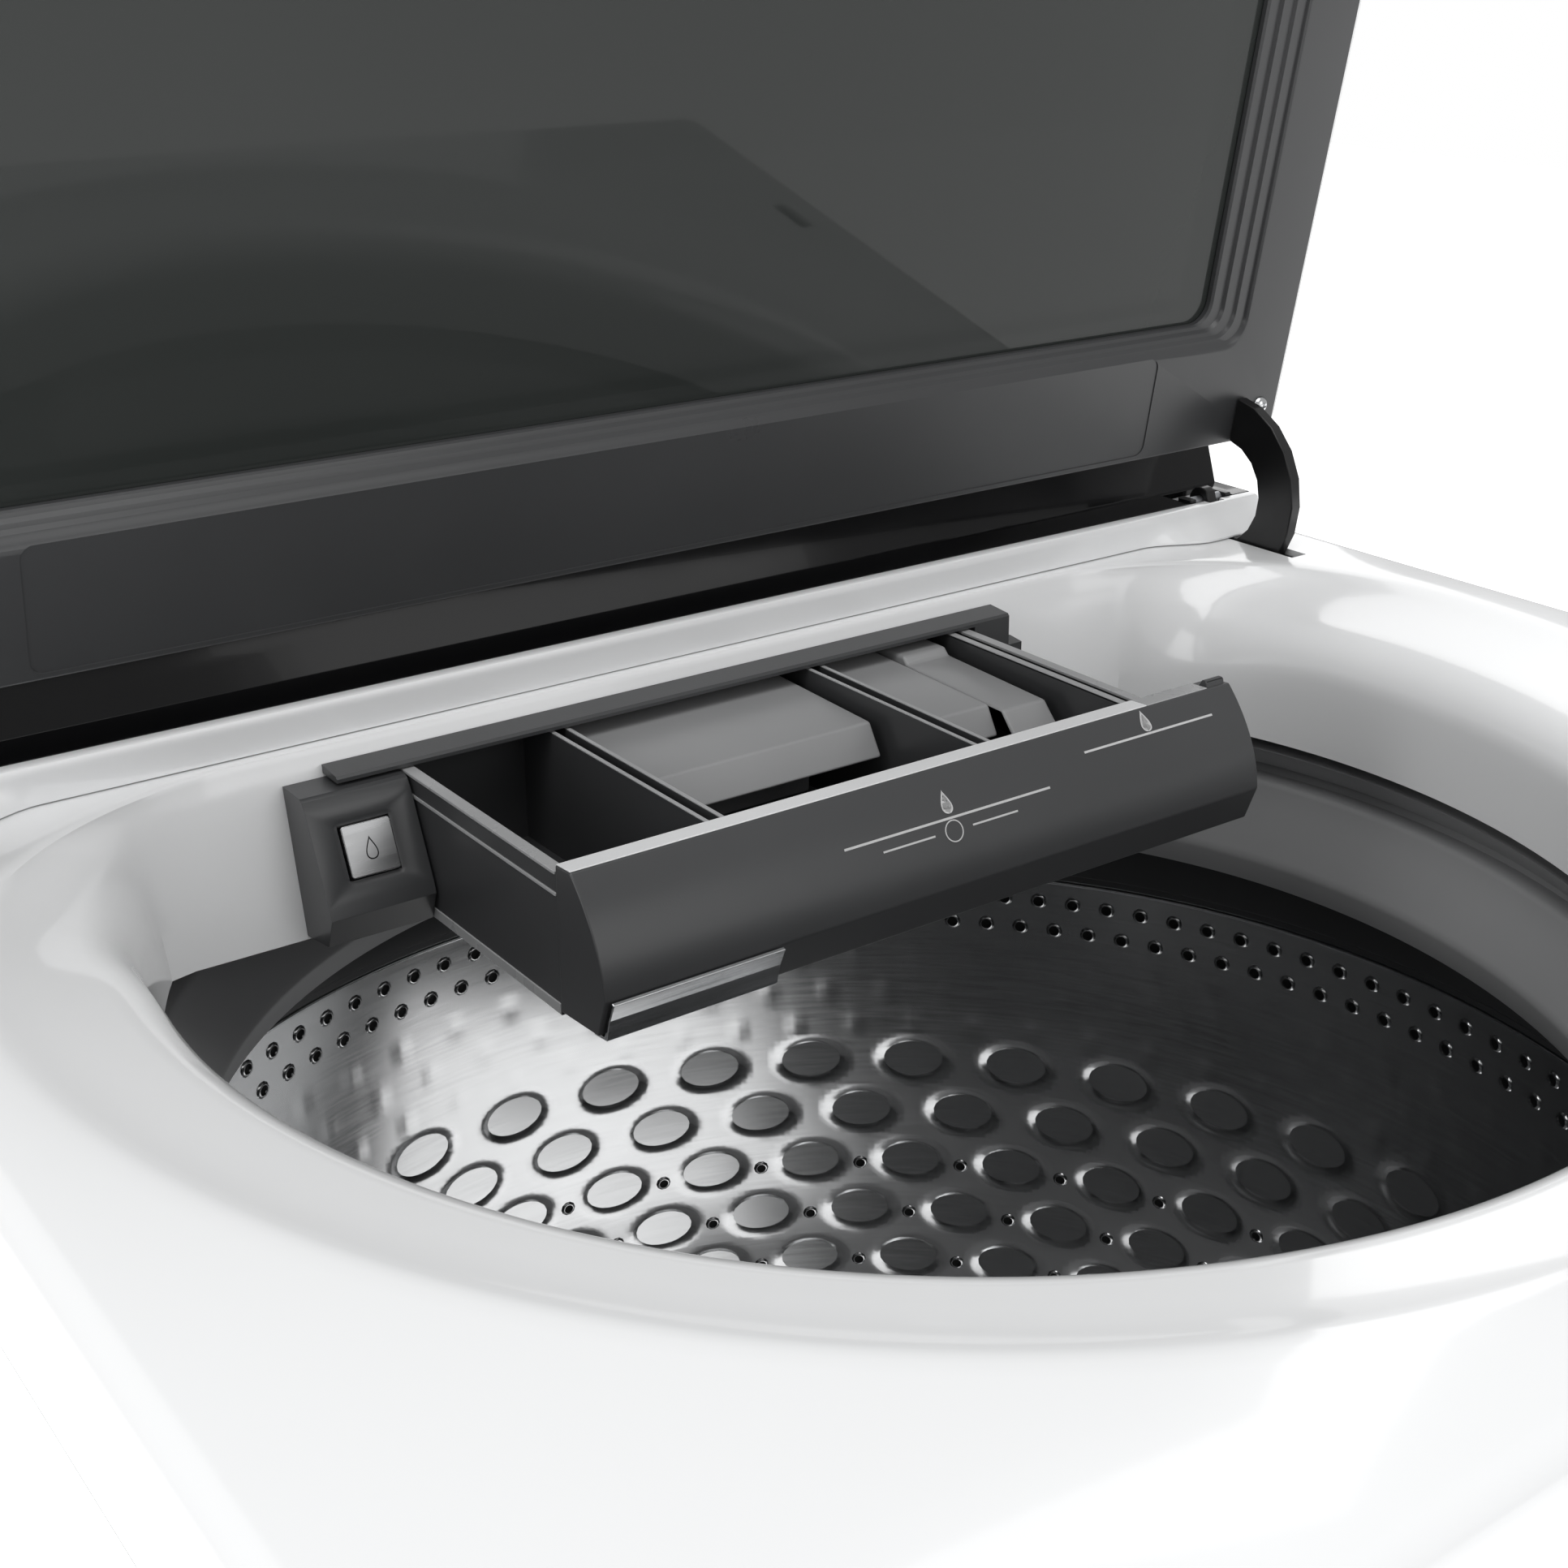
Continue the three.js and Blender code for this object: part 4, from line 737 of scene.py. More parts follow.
def deck_rings():
    """Rings of points over the deck, down the mouth and back underneath."""
    angles = {round(math.radians(TURN_STEP * i), 9) for i in range(int(360 / TURN_STEP))}
    r, x, y = DECK_CORNER - DECK_EDGE, HALF_W - DECK_CORNER, HALF_D - DECK_CORNER
    for sx in (-1, 1):
        for sy in (-1, 1):
            for i in range(9):
                t = math.radians(90 * i / 8)
                point = (sx * (x + r * math.cos(t)), sy * (y + r * math.sin(t)))
                angles.add(round(math.atan2(point[1], point[0]) % (2 * math.pi), 9))
    angles = sorted(angles)
    front, rear = dish_profile()
    rings = []
    for step in range(7):
        t = math.radians(90 * step / 6)
        out, fall = DECK_EDGE * math.sin(t), Vector((0, 0, -DECK_EDGE * (1 - math.cos(t))))
        rings.append([rim_point(a, out) + fall for a in angles])
    rings.reverse()
    inside = DECK_EDGE - DECK_WALL
    lower = [(DECK_EDGE, -SKIRT_H), (inside, -SKIRT_H), (inside, -DECK_EDGE), (-3, -DECK_WALL)]
    under = [[rim_point(a, out) + Vector((0, 0, z)) for a in angles] for out, z in lower]
    dish, below = [], []
    for (fs, fd, fz), (rs, rd, rz) in zip(front, rear):
        ring, under_ring = [], []
        for a in angles:
            w = wall_share(a)
            share, more, z = fs + (rs - fs) * w, fd + (rd - fd) * w, fz + (rz - fz) * w
            low, high = mouth_radius(a), crease_radius(a)
            z -= scoop(a, 1 - share) * (1 if 0 < share < 1 else 0)
            reach = low + (high - low) * share + more
            ring.append(Vector((reach * math.cos(a), reach * math.sin(a), z)))
            reach += DECK_WALL
            z = max(z - DECK_WALL, -MOUTH_DEPTH)
            under_ring.append(Vector((reach * math.cos(a), reach * math.sin(a), z)))
        dish.append(ring)
        below.append(under_ring)
    return rings + dish + below[::-1][1:] + under[::-1]


def make_deck():
    """White deck with its dish and mouth, cut for the drawer, the lid lock and the hinge arms."""
    bm = loft(bmesh.new(), deck_rings(), closed=True)
    bm.transform(Matrix.Translation((0, 0, DECK_Z)))
    deck = piece("deck_moulding", bm, white_gloss(), "cabinet", ["top_deck"], smooth=38)
    low, high = corners("dispenser_housing")
    lock_low, lock_high = corners("lid_lock")
    lock_x, lock_y = (lock_low.x + lock_high.x) / 2, (lock_low.y + lock_high.y) / 2
    slots = [((low.x + 2.5, 60, low.z + 1.5), (high.x - 2.5, STRIP_Y + 10, DECK_Z - 8.5))]
    slots.append(((lock_x - 5, lock_y - 16, DECK_Z - 9), (lock_x + 5, lock_y + 16, DECK_Z + 1)))
    for side in SIDES:
        arm_low, arm_high = corners("hinge_arm_" + side)
        rear, front = HINGE.y + 24, HINGE.y - 63
        slots.append(((arm_low.x - 2, front, DECK_Z - 9), (arm_high.x + 2, rear, DECK_Z + 1)))
    pared(deck, [lambda bm, slot=slot: block(bm, *slot) for slot in slots])
    deck.data.set_sharp_from_angle(angle=math.radians(38))


def make_cabinet():
    """Painted wrap-round sheet with rounded front corners and turned-in rear edges."""
    low, high = corners("cabinet_shell")
    r, t, flange = DECK_CORNER, 1.0, 18

    def section(z, inset):
        x, y = HALF_W - inset, HALF_D - inset
        q = r - inset
        outer = [(-x + flange, HALF_D), (-x, HALF_D)] + arc(-x + q, -y + q, q, 180, 270, 8)
        outer += arc(x - q, -y + q, q, 270, 360, 8) + [(x, HALF_D), (x - flange, HALF_D)]
        xi, yi, qi = x - t, y - t, q - t
        inner = [(x - flange, HALF_D - t), (xi, HALF_D - t)] + arc(xi - qi, -yi + qi, qi, 360, 270, 8)
        inner += arc(-xi + qi, -yi + qi, qi, 270, 180, 8) + [(-xi, HALF_D - t), (-x + flange, HALF_D - t)]
        return [Vector((px, py, z)) for px, py in outer + inner]

    rings = [section(low.z, 1.2), section(low.z + 1.5, 0.3), section(low.z + 4, 0), section(high.z, 0)]
    bm = loft(bmesh.new(), rings, caps=True)
    piece("cabinet_wrap", bm, white_enamel(), "cabinet", ["cabinet_shell"], smooth=30)
    bm = bmesh.new()
    rod_low, rod_high = corners("suspension_rod_rear_right")
    x, y = (rod_low.x + rod_high.x) / 2, (rod_low.y + rod_high.y) / 2
    for sx in (-1, 1):
        for sy in (-1, 1):
            plate = bmesh.new()
            top = high.z - 37
            edge = HALF_D - (14 if sy < 0 else 3)
            outline = [(HALF_W - 1, edge), (x - 26, edge), (x - 26, y + 10)]
            outline += [(x + 4, y - 26), (HALF_W - 1, y - 26)]
            rings = [[Vector((sx * px, sy * py, z)) for px, py in outline] for z in (top - 3, top)]
            loft(plate, rings, caps=True)
            copy_into(bm, plate)
    piece("corner_gussets", bm, white_enamel(), "cabinet")


# ---------- console ----------
def make_strip():
    """White strip along the console's foot, its ends flared forward."""
    h = 15
    y = STRIP_Y
    half = STRIP_HIGH.x
    stations = [0, 120, 220, 262, 267, 272, 278, 285, 292, 298, 304, 320]
    stations += [half - 4, half - 1.2, half]

    def section(x):
        f = 12 * smoothstep(abs(x), 264, 300)
        end = 1.2 if abs(x) > half - 1 else 0
        foot = [(y - f + end, 0.4 + end), (y - f, 1.6 + end)]
        waist = [(y - f * 0.55, 4.2), (y - f * 0.2, 8.0), (y - f * 0.05, 11.0)]
        head = [(y, 13.4 - end), (y + 0.5, 14.6 - end), (y + 1.7, h - end), (y + 6, h - end)]
        return foot + waist + head + [(y + 6, h - 2.6), (y + 2.6, h - 3.6), (y + 2.6, 0.4 + end)]

    xs = [-x for x in stations[:0:-1]] + stations
    rings = [[Vector((x, py, DECK_Z + pz)) for py, pz in section(x)] for x in xs]
    bm = loft(bmesh.new(), rings, caps=True)
    strip = piece("foot_strip", bm, white_gloss(), "cabinet", ["console_strip"], smooth=40)
    slots = []
    for side in SIDES:
        arm_low, arm_high = corners("hinge_arm_" + side)
        x0, x1 = arm_low.x - 2, arm_high.x + 2
        slots.append(((x0, y - 20, DECK_Z - 1), (x1, y + 20, DECK_Z + 6.5)))
        slots.append(((x0, y + 2.6, DECK_Z + 6), (x1, y + 20, DECK_Z + h + 1)))
    pared(strip, [lambda bm, slot=slot: block(bm, *slot) for slot in slots])
    soften(strip, 0.4, 2, 50)
    for side in SIDES:
        arm_low, arm_high = corners("hinge_arm_" + side)
        x = (arm_low.x + arm_high.x) / 2
        bm = bmesh.new()
        for cheek in (-14, 10):
            block(bm, (x + cheek, HINGE.y - 5, DECK_Z + 0.4), (x + cheek + 4, HINGE.y + 4, HINGE.z + 3))
        bracket = piece("hinge_cheeks_" + side, bm, black_plastic(), "cabinet")
        soften(bracket, 0.8)
        bm = bmesh.new()
        turn = Matrix.Translation((x, HINGE.y, HINGE.z)) @ Matrix.Rotation(math.pi / 2, 4, "Y")
        bmesh.ops.create_cone(bm, cap_ends=True, segments=24, radius1=2.8, radius2=2.8, depth=26, matrix=turn)
        pin = piece("hinge_pin_" + side, bm, zinc(), "cabinet")
        soften(pin, 0.3)


BUTTONS = ("power_button", "start_button")
KNOB_R = 26
BUTTON_RING = 12.5  # inside radius of the printed rings round the buttons


def make_console():
    """Console with its black face, knob, buttons and printed marks."""
    refined("console_housing", white_gloss(), "cabinet", 3.0, 4)
    refined("console_fascia", black_gloss(), "cabinet", 0.8, 3)
    joint = next(j for j in frame["joints"] if j["name"] == "cycle_knob_turn")
    foot = Vector(joint["pos_m"]) / MM
    stand = onto(OUT_OF_FACE, foot)
    rim = KNOB_R
    bm = bmesh.new()
    profile = [(0, -16), (4, -16), (4, 0.4), (rim - 1, 0.4), (rim, 1.2), (rim - 0.3, 5), (rim - 1.6, 10.6)]
    profile += [(rim - 2.6, 11.8), (rim - 4, 12.3), (rim - 5.5, 12.2), (rim - 7, 11.6), (0, 11.2)]
    turned(bm, profile, 96)
    for i in range(60):
        a = math.radians(6 * i)
        at = Matrix.Rotation(a, 4, "Z") @ Matrix.Translation((rim - 0.25, 0, 5.2))
        bmesh.ops.create_cube(bm, size=1, matrix=at @ Matrix.Diagonal((0.9, 1.1, 7.0, 1)))
    bm.transform(stand)
    piece("knob_cap", bm, chrome(), "cycle_knob", ["cycle_knob"], smooth=30)
    bm = bmesh.new()
    block(bm, (-0.9, 12, 11.0), (0.9, rim - 7, 12.0))
    bm.transform(stand)
    piece("knob_pointer", bm, ink(), "cycle_knob")
    for node in BUTTONS:
        low, high = corners(node)
        x = (low.x + high.x) / 2
        at = Vector((x, foot.y, foot.z))
        bm = bmesh.new()
        turned(bm, [(0, -8), (8, -8), (8, 1.4), (7.6, 2.3), (6.8, 2.9), (5.5, 3.0), (4.5, 2.7), (0, 2.5)], 48)
        bm.transform(onto(OUT_OF_FACE, at))
        piece(node + "_cap", bm, chrome(), node, [node])
    bm = bmesh.new()
    for i in range(9):
        a = math.radians(30 * i - 120)
        dot = Matrix.Translation(((rim + 9) * math.sin(a), (rim + 9) * math.cos(a), 0.1))
        bmesh.ops.create_cone(bm, cap_ends=True, segments=12, radius1=1.1, radius2=1.1, depth=0.2, matrix=dot)
    inner, outer = BUTTON_RING, BUTTON_RING + 0.7
    for node in BUTTONS:
        low, high = corners(node)
        ring = turned(bmesh.new(), [(inner, 0), (outer, 0), (outer, 0.2), (inner, 0.2)], 48)
        ring.transform(Matrix.Translation(((low.x + high.x) / 2 - foot.x, 0, 0)))
        copy_into(bm, ring)
    for i in range(5):
        block(bm, (-430 + 62 * i, 8, 0), (-400 + 62 * i, 8.8, 0.2))
        block(bm, (-430 + 62 * i, -6, 0), (-412 + 62 * i, -5.4, 0.2))
    bm.transform(stand)
    piece("face_marks", bm, ink(), "cabinet")


# ---------- lid ----------
LID_IN = 3 - 13.5  # closed lid's inner face, above the hinge axis
LID_HALF = HALF_W - 10
LID_REAR = -34.2
LID_FRONT = -(HINGE.y + HALF_D - 8)
GLASS_TOP = LID_IN + 15
SIDE_BAR, REAR_BAR, FRONT_BAR = 53, 59, 46  # lid's edges to the window
SCREW_IN, SCREW_UP = 14, 16.5  # screws' places, in from the lid's side and up from its rear edge


def lid_ring(side, rear, front, r, z, steps=8):
    """Ring of points in from the closed lid's sides, rear and front edges."""
    return rounded_rect(-LID_HALF + side, LID_HALF - side, LID_FRONT + front, LID_REAR - rear, r, z, steps)


def screw_place(sx, above):
    """Matrix of a screw on the open lid: sx is the side, above is the height over its inner face."""
    return lid_turn() @ Matrix.Translation((sx * (LID_HALF - SCREW_IN), LID_REAR - SCREW_UP, LID_IN + above))


def make_lid():
    """Lid's inner panel with its steps, window, outer frame, screws, arms and strike."""
    i0, i1 = LID_IN, GLASS_TOP - 4.4
    s, b, f = SIDE_BAR, REAR_BAR, FRONT_BAR
    steps = [
        (2.6, 2.6, 2.6, 9.8, i1), (2.6, 2.6, 2.6, 9.8, i0 + 1.3),
        (2.6, 0.1, 2.6, 9.8, i0 + 1.2), (2.8, 0.3, 2.8, 9.6, i0 + 0.3), (3.3, 0.9, 3.3, 9.1, i0),
        (s - 20, b - 12, f - 12, 14, i0), (s - 19, b - 10.5, f - 10.5, 13, i0 + 0.25),
        (s - 18.2, b - 9.2, f - 9.2, 12, i0 + 1.0), (s - 18, b - 7.6, f - 7.6, 11.6, i0 + 2.2),
        (s - 12.5, b - 6.2, f - 6.2, 11.2, i0 + 2.6), (s - 12, b - 4.8, f - 4.8, 10.8, i0 + 4.2),
        (s - 6.5, b - 3.2, f - 3.2, 10.4, i0 + 4.8), (s - 6, b - 2.0, f - 2.0, 10.2, i0 + 6.6),
        (s - 0.8, b - 0.6, f - 0.6, 10, i0 + 7.2), (s, b, f, 10, i0 + 8.4), (s, b, f, 10, i1),
    ]
    rings = [lid_ring(*step) for step in steps]
    bm = loft(bmesh.new(), rings, closed=True)
    bm.transform(lid_turn())
    panel = piece("lid_inner_panel", bm, dark_plastic(), "lid", ["lid_inner_frame"], smooth=24)

    def label_well(bm):
        edges = (-LID_HALF + 82, LID_HALF - 89, LID_REAR - 49, LID_REAR - 2.5, 5)
        well = loft(bmesh.new(), [rounded_rect(*edges, LID_IN + z) for z in (-1, 0.5)], caps=True)
        well.transform(lid_turn())
        copy_into(bm, well)

    def screw_hole(bm, sx):
        at = screw_place(sx, 2)
        bmesh.ops.create_cone(bm, cap_ends=True, segments=24, radius1=2.6, radius2=2.6, depth=10, matrix=at)

    pared(panel, [label_well, lambda bm: screw_hole(bm, -1), lambda bm: screw_hole(bm, 1)])
    panel.data.set_sharp_from_angle(angle=math.radians(24))

    rings = [lid_ring(s - 12, b - 12, f - 12, 22, z) for z in (GLASS_TOP - 4, GLASS_TOP)]
    bm = loft(bmesh.new(), rings, caps=True)
    bm.transform(lid_turn())
    glass = piece("lid_window", bm, tinted_glass(), "lid", ["lid_glass"])
    soften(glass, 0.5)

    refined("lid_outer_frame", white_gloss(), "lid", 1.2, 3)
    profile = [(0, -3), (1.2, -2.95), (2.2, -2.7), (3.4, -2.0), (4.1, -1.0), (4.35, -0.3)]
    profile += [(2.4, -0.2), (2.4, 6), (0, 6)]
    for side, sx in zip(SIDES, (-1, 1)):
        screw = "lid_screw_" + side
        bm = turned(bmesh.new(), profile, 32)
        bm.transform(screw_place(sx, 0))
        head = piece(screw + "_head", bm, chrome(), "lid", [screw], smooth=40)
        # The two slots of the cross overlap, so each is a cut of its own.
        for size in ((0.9, 4.2, 2.6), (4.2, 0.9, 2.6)):
            at = screw_place(sx, -3) @ Matrix.Diagonal((*size, 1))
            pared(head, [lambda bm, at=at: bmesh.ops.create_cube(bm, size=1, matrix=at)])
        refined("hinge_arm_" + side, black_plastic(), "lid", 0.7, 3)
    refined("lid_strike", zinc(), "lid", 0.4)


# ---------- dispenser ----------
WALL = 2.2  # drawer's walls
RAIL_W = 11  # ledge along the drawer's right wall
DIVIDER_GAP = 4.4  # between the two walls of a divider
DIVIDER_SHARES = (0.245, 0.695)  # dividers' places across the drawer


def front_profile():
    """Outline in (y, z) of the drawer's front: its face bulges, then turns in at a chamfer."""
    rear = FRONT_HIGH.y
    top = DECK_Z - 8
    p0, p1 = Vector((rear - 9.6, top + 0.6)), Vector((rear - 20, top - 10))
    p2, p3 = Vector((rear - 28, top - 23)), Vector((rear - 29.6, top - 39))
    face = []
    for i in range(17):
        t = i / 16
        p = p0 * (1 - t) ** 3 + p1 * 3 * t * (1 - t) ** 2 + p2 * 3 * t * t * (1 - t) + p3 * t ** 3
        face.append((p.x, p.y))
    return face, (rear - 24.2, top - 54), (rear, top - 55.5), (rear, top)


def face_point(t):
    """Point and outward direction, in (y, z), t of the way down the drawer front's face."""
    face = front_profile()[0]
    k = min(len(face) - 2, int(t * (len(face) - 1)))
    u = t * (len(face) - 1) - k
    a, b = Vector(face[k]), Vector(face[k + 1])
    along = (b - a).normalized()
    return a.lerp(b, u), Vector((along.y, -along.x))


def make_drawer():
    """Drawer with its curved front, grip, printed marks and inserts."""
    face, foot, back_low, back_top = front_profile()
    left, right = BODY_LOW.x - 0.5, FRONT_HIGH.x
    bm = across(bmesh.new(), [back_top, *face, foot, back_low], left, right)
    front = piece("drawer_face", bm, dark_plastic(), "drawer", ["drawer_front"], smooth=20)
    soften(front, 0.7, 3, 25)
    bm = bmesh.new()
    y = back_top[0]
    tab = [(-9, -9), (-8.2, -5.6), (-7.4, -5), (-5.4, -5), (-3, -9)]
    across(bm, [(y + out, DECK_Z + up) for out, up in tab], right - 12, right - 2)
    soften(piece("drawer_face_tab", bm, dark_plastic(), "drawer"), 0.6, 3, 25)
    refined("drawer_grip", chrome(), "drawer", 0.35, 3)
    refined("drawer_body", dark_plastic(), "drawer", 0.35, 2)

    bm = bmesh.new()
    for x0, x1, t0, t1 in ((-32, 66, 0.43, 0.45), (88, 158, 0.23, 0.25)):
        marks_strip(bm, x0, x1, t0, t1)
    for x, t in ((17, 0.30), (123, 0.12)):
        drop_mark(bm, x, t, 4.6)
    ring_mark(bm, 17, 0.55, 4.2)
    for x0, x1 in ((-16, 8), (26, 48)):
        marks_strip(bm, x0, x1, 0.54, 0.556)
    piece("drawer_face_marks", bm, ink(), "drawer")

    refined("detergent_insert", insert_plastic(), "drawer", 1.2, 3)
    refined("softener_insert", insert_plastic(), "drawer", 1.4, 3)
    refined("release_tab", insert_plastic(), "release_tab", 1.4, 3)

    trim_drawer(left, right, back_top)


def trim_drawer(left, right, back_top):
    """Light strips along the tops of the drawer's front and walls: painted highlights."""
    low, high = BODY_LOW, BODY_HIGH
    y, z = back_top
    strip = [(y - 0.3, z - 0.1), (y - 9.3, z + 0.45), (y - 9.1, z + 0.95), (y - 0.3, z + 0.4)]
    rail = high.x - RAIL_W
    # The light strip on the top ledge of the drawer's front is a painted highlight.
    bm = across(bmesh.new(), strip, left + 0.3, rail)
    soften(piece("drawer_front_strip", bm, front_ledge_highlight_plastic(), "drawer"), 0.25, 2)
    # Over the rail the strip is mid grey: a weaker painted highlight.
    bm = across(bmesh.new(), strip, rail + 0.2, right - 12.5)
    soften(piece("drawer_front_strip_end", bm, edge_highlight_plastic(), "drawer"), 0.25, 2)
    inside = high.x - low.x
    # Lighter tops of the drawer's walls and dividers: painted highlights.
    tops = [(low.x - 0.6, low.x + 4.4), (rail, rail + 3.4), (high.x - 4.2, high.x + 0.5)]
    for share in DIVIDER_SHARES:
        for sign in (-1, 1):
            x = low.x + share * inside + sign * (DIVIDER_GAP + WALL) / 2
            tops.append((x - 0.9, x + 0.9))
    bm = bmesh.new()
    for x0, x1 in tops:
        block(bm, (x0, low.y + 0.2, high.z - 0.9), (x1, high.y - 0.3, high.z + 0.4))
    soften(piece("drawer_wall_tops", bm, edge_highlight_plastic(), "drawer"), 0.3, 2)
    # Two lighter lines along the drawer's left flank: painted highlights.
    bm = bmesh.new()
    block(bm, (low.x - 0.5, low.y + 0.2, low.z + 0.3), (low.x + 0.4, high.y - 0.3, low.z + 4.5))
    block(bm, (low.x - 0.5, low.y + 0.2, high.z - 9), (low.x + 0.4, high.y - 0.3, high.z - 7.6))
    soften(piece("drawer_flank_ribs", bm, edge_highlight_plastic(), "drawer"), 0.35, 2)


def marks_strip(bm, x0, x1, t0, t1):
    """A thin printed line that follows the drawer front's face."""
    (a, na), (b, nb) = face_point(t0), face_point(t1)
    outline = [a + na * 0.02, a + na * 0.12, b + nb * 0.12, b + nb * 0.02]
    across(bm, [(p.x, p.y) for p in outline], x0, x1)


def on_front(x, t):
    """Matrix that stands a shape on the drawer front's face."""
    point, out = face_point(t)
    return onto((0, out.x, out.y), (x, point.x, point.y))


def ring_mark(bm, x, t, r):
    """A printed circle on the drawer's front."""
    ring = bmesh.new()
    turned(ring, [(r - 0.45, 0.02), (r, 0.02), (r, 0.14), (r - 0.45, 0.14)], 32)
    ring.transform(on_front(x, t))
    copy_into(bm, ring)


def drop_mark(bm, x, t, size):
    """A printed outline of a water drop on the drawer's front."""
    shape = drop_outline(size, 0.55, 0.14)
    shape.transform(on_front(x, t))
    copy_into(bm, shape)


def drop_ring(r, inset=0.0):
    """Points round a water drop of half-height r, moved in by `inset`."""
    share = 1 - inset / (0.62 * r)
    ring = []
    for i in range(40):
        a = 2 * math.pi * (i + 0.5) / 40
        wide = 0.78 * r * math.sin(a) * math.sin(a / 2) ** 1.6
        ring.append(Vector((wide * share, (r * math.cos(a) + 0.3 * r) * share - 0.3 * r, 0)))
    return ring


def drop_outline(r, line, height):
    """A thin outline of a water drop that stands `height` proud."""
    bm = bmesh.new()
    walls = ((0, 0.0), (0, height), (line, height), (line, 0.0))
    return loft(bm, [[p + Vector((0, 0, z)) for p in drop_ring(r, inset)] for inset, z in walls], closed=True)


def make_dispenser():
    """Drawer's housing and bezel, and the faucet with its button."""
    refined("dispenser_housing", insert_plastic(), "cabinet", 0.4)
    refined("dispenser_bezel", dark_plastic(), "cabinet", 1.15, 4)
    low, high = corners("faucet_button")
    middle = (low + high) / 2
    out = OUT_OF_SPOUT
    spout = refined("faucet_block", dark_plastic(), "cabinet", 1.0, 3)
    spout.modifiers.clear()  # its edges are rounded again once the well is cut

    def button_well(bm):
        steps = ((13.4, 4, 3), (12.8, 3.6, 0.05), (11.6, 2.4, -0.6), (10.5, 1.4, -0.9))
        rings = [rounded_rect(-half, half, -half, half, r, z, 4) for half, r, z in steps]
        well = loft(bmesh.new(), rings, caps=True)
        well.transform(onto(out, middle + out * 1.5))
        copy_into(bm, well)

    pared(spout, [button_well])
    spout.data.shade_smooth()
    spout.data.set_sharp_from_angle(angle=math.radians(32))
    soften(spout, 0.9, 3)
    refined("faucet_button", satin_metal(), "faucet_button", 0.5, 3)
    bm = drop_outline(4.4, 0.42, 0.12)
    bm.transform(onto(out, middle + out * 2.5))
    piece("faucet_drop_mark", bm, hole_black(), "faucet_button")


# ---------- tub and basket ----------
def make_rings():
    """Tub ring with its steps, and the balance ring."""
    r = MOUTH_R
    out = RING_HIGH.x
    low = RING_LOW.z - DECK_Z
    profile = [(r + 2.5, -75), (r + 3.6, -75.4), (r + 8.0, -82.8), (r + 9.4, -84.2), (r + 15.5, -85)]
    profile += [(r + 15.5, -91), (r + 7.6, -91.6), (r + 6.4, -92.4), (r + 5.6, -94), (r - 5.4, -123)]
    profile += [(r - 6.3, -126), (r - 6.1, -128), (r - 2.9, -138.2), (r - 2.5, -139), (r + 0.5, -138)]
    profile += [(r - 3.2, -126), (r + 9, -94.5), (r + 19, -94), (r + 19, -82), (out - 3, -118)]
    profile += [(out - 3, low), (out, low), (out, -116), (r + 22, -75)]
    bm = turned(bmesh.new(), profile, 192)
    bm.transform(Matrix.Translation((0, 0, DECK_Z)))
    piece("tub_ring_moulding", bm, ring_plastic(), "tub", ["tub_ring"], smooth=35)
    b_low, b_high = corners("balance_ring")
    top, foot = b_high.z, b_low.z
    ri = BASKET_IN - 2
    ro = b_high.x
    profile = [(ri, foot), (ri, foot + 3), (ri - 0.8, foot + 4), (ri - 0.8, top - 4), (ri + 0.6, top - 1.2)]
    profile += [(ri + 2.2, top), (ro - 2, top), (ro, top - 2), (ro, foot + 1), (ro - 1, foot)]
    bm = turned(bmesh.new(), profile, 192)
    piece("balance_ring_moulding", bm, dark_plastic(), "basket", ["balance_ring"], smooth=35)


DIMPLE_TOP = -303  # first row of dimples, below the deck
DIMPLE_HALF = (20.0, 13.0)  # half a dimple's width and height
CUP_SHARE = 0.52  # the dark cup's size in its dimple
RIM_ROWS = (-201, -217)  # rows of holes near the rim, below the deck


def dimple_place(drum, row, i):
    """Angle and height of a dimple; every second row is shifted by half a step."""
    turn = (i + 0.5 * (row % 2)) / drum.dimples
    return 2 * math.pi * turn, DIMPLE_TOP - row * drum.step / MM


def bowl(d, depth):
    """Depth of a dimple at d of the way from its middle to its edge."""
    return depth * (1 - d * d) ** 1.25 if d < 1 else 0.0


def wall_offset(drum, a, z):
    """How far the basket's wall is pushed out at angle a, z millimetres above the deck."""
    push = 0.0
    pitch = BASKET_IN * 2 * math.pi / drum.dimples
    row = (DIMPLE_TOP - z) / (drum.step / MM)
    for k in (math.floor(row), math.floor(row) + 1):
        if 0 <= k < drum.rows:
            middle, height = dimple_place(drum, k, 0)
            turn = ((a - middle) / (2 * math.pi) * drum.dimples + 0.5) % 1 - 0.5
            d = math.hypot(turn * pitch / DIMPLE_HALF[0], (z - height) / DIMPLE_HALF[1])
            push += bowl(d, drum.depth / MM)
    if -292 < z < -228:
        ripple = math.sin(a * 63) * math.sin((z + 228) / 64 * 3 * math.pi)
        push += 0.35 * max(0.0, ripple - 0.55) / 0.45
    return push


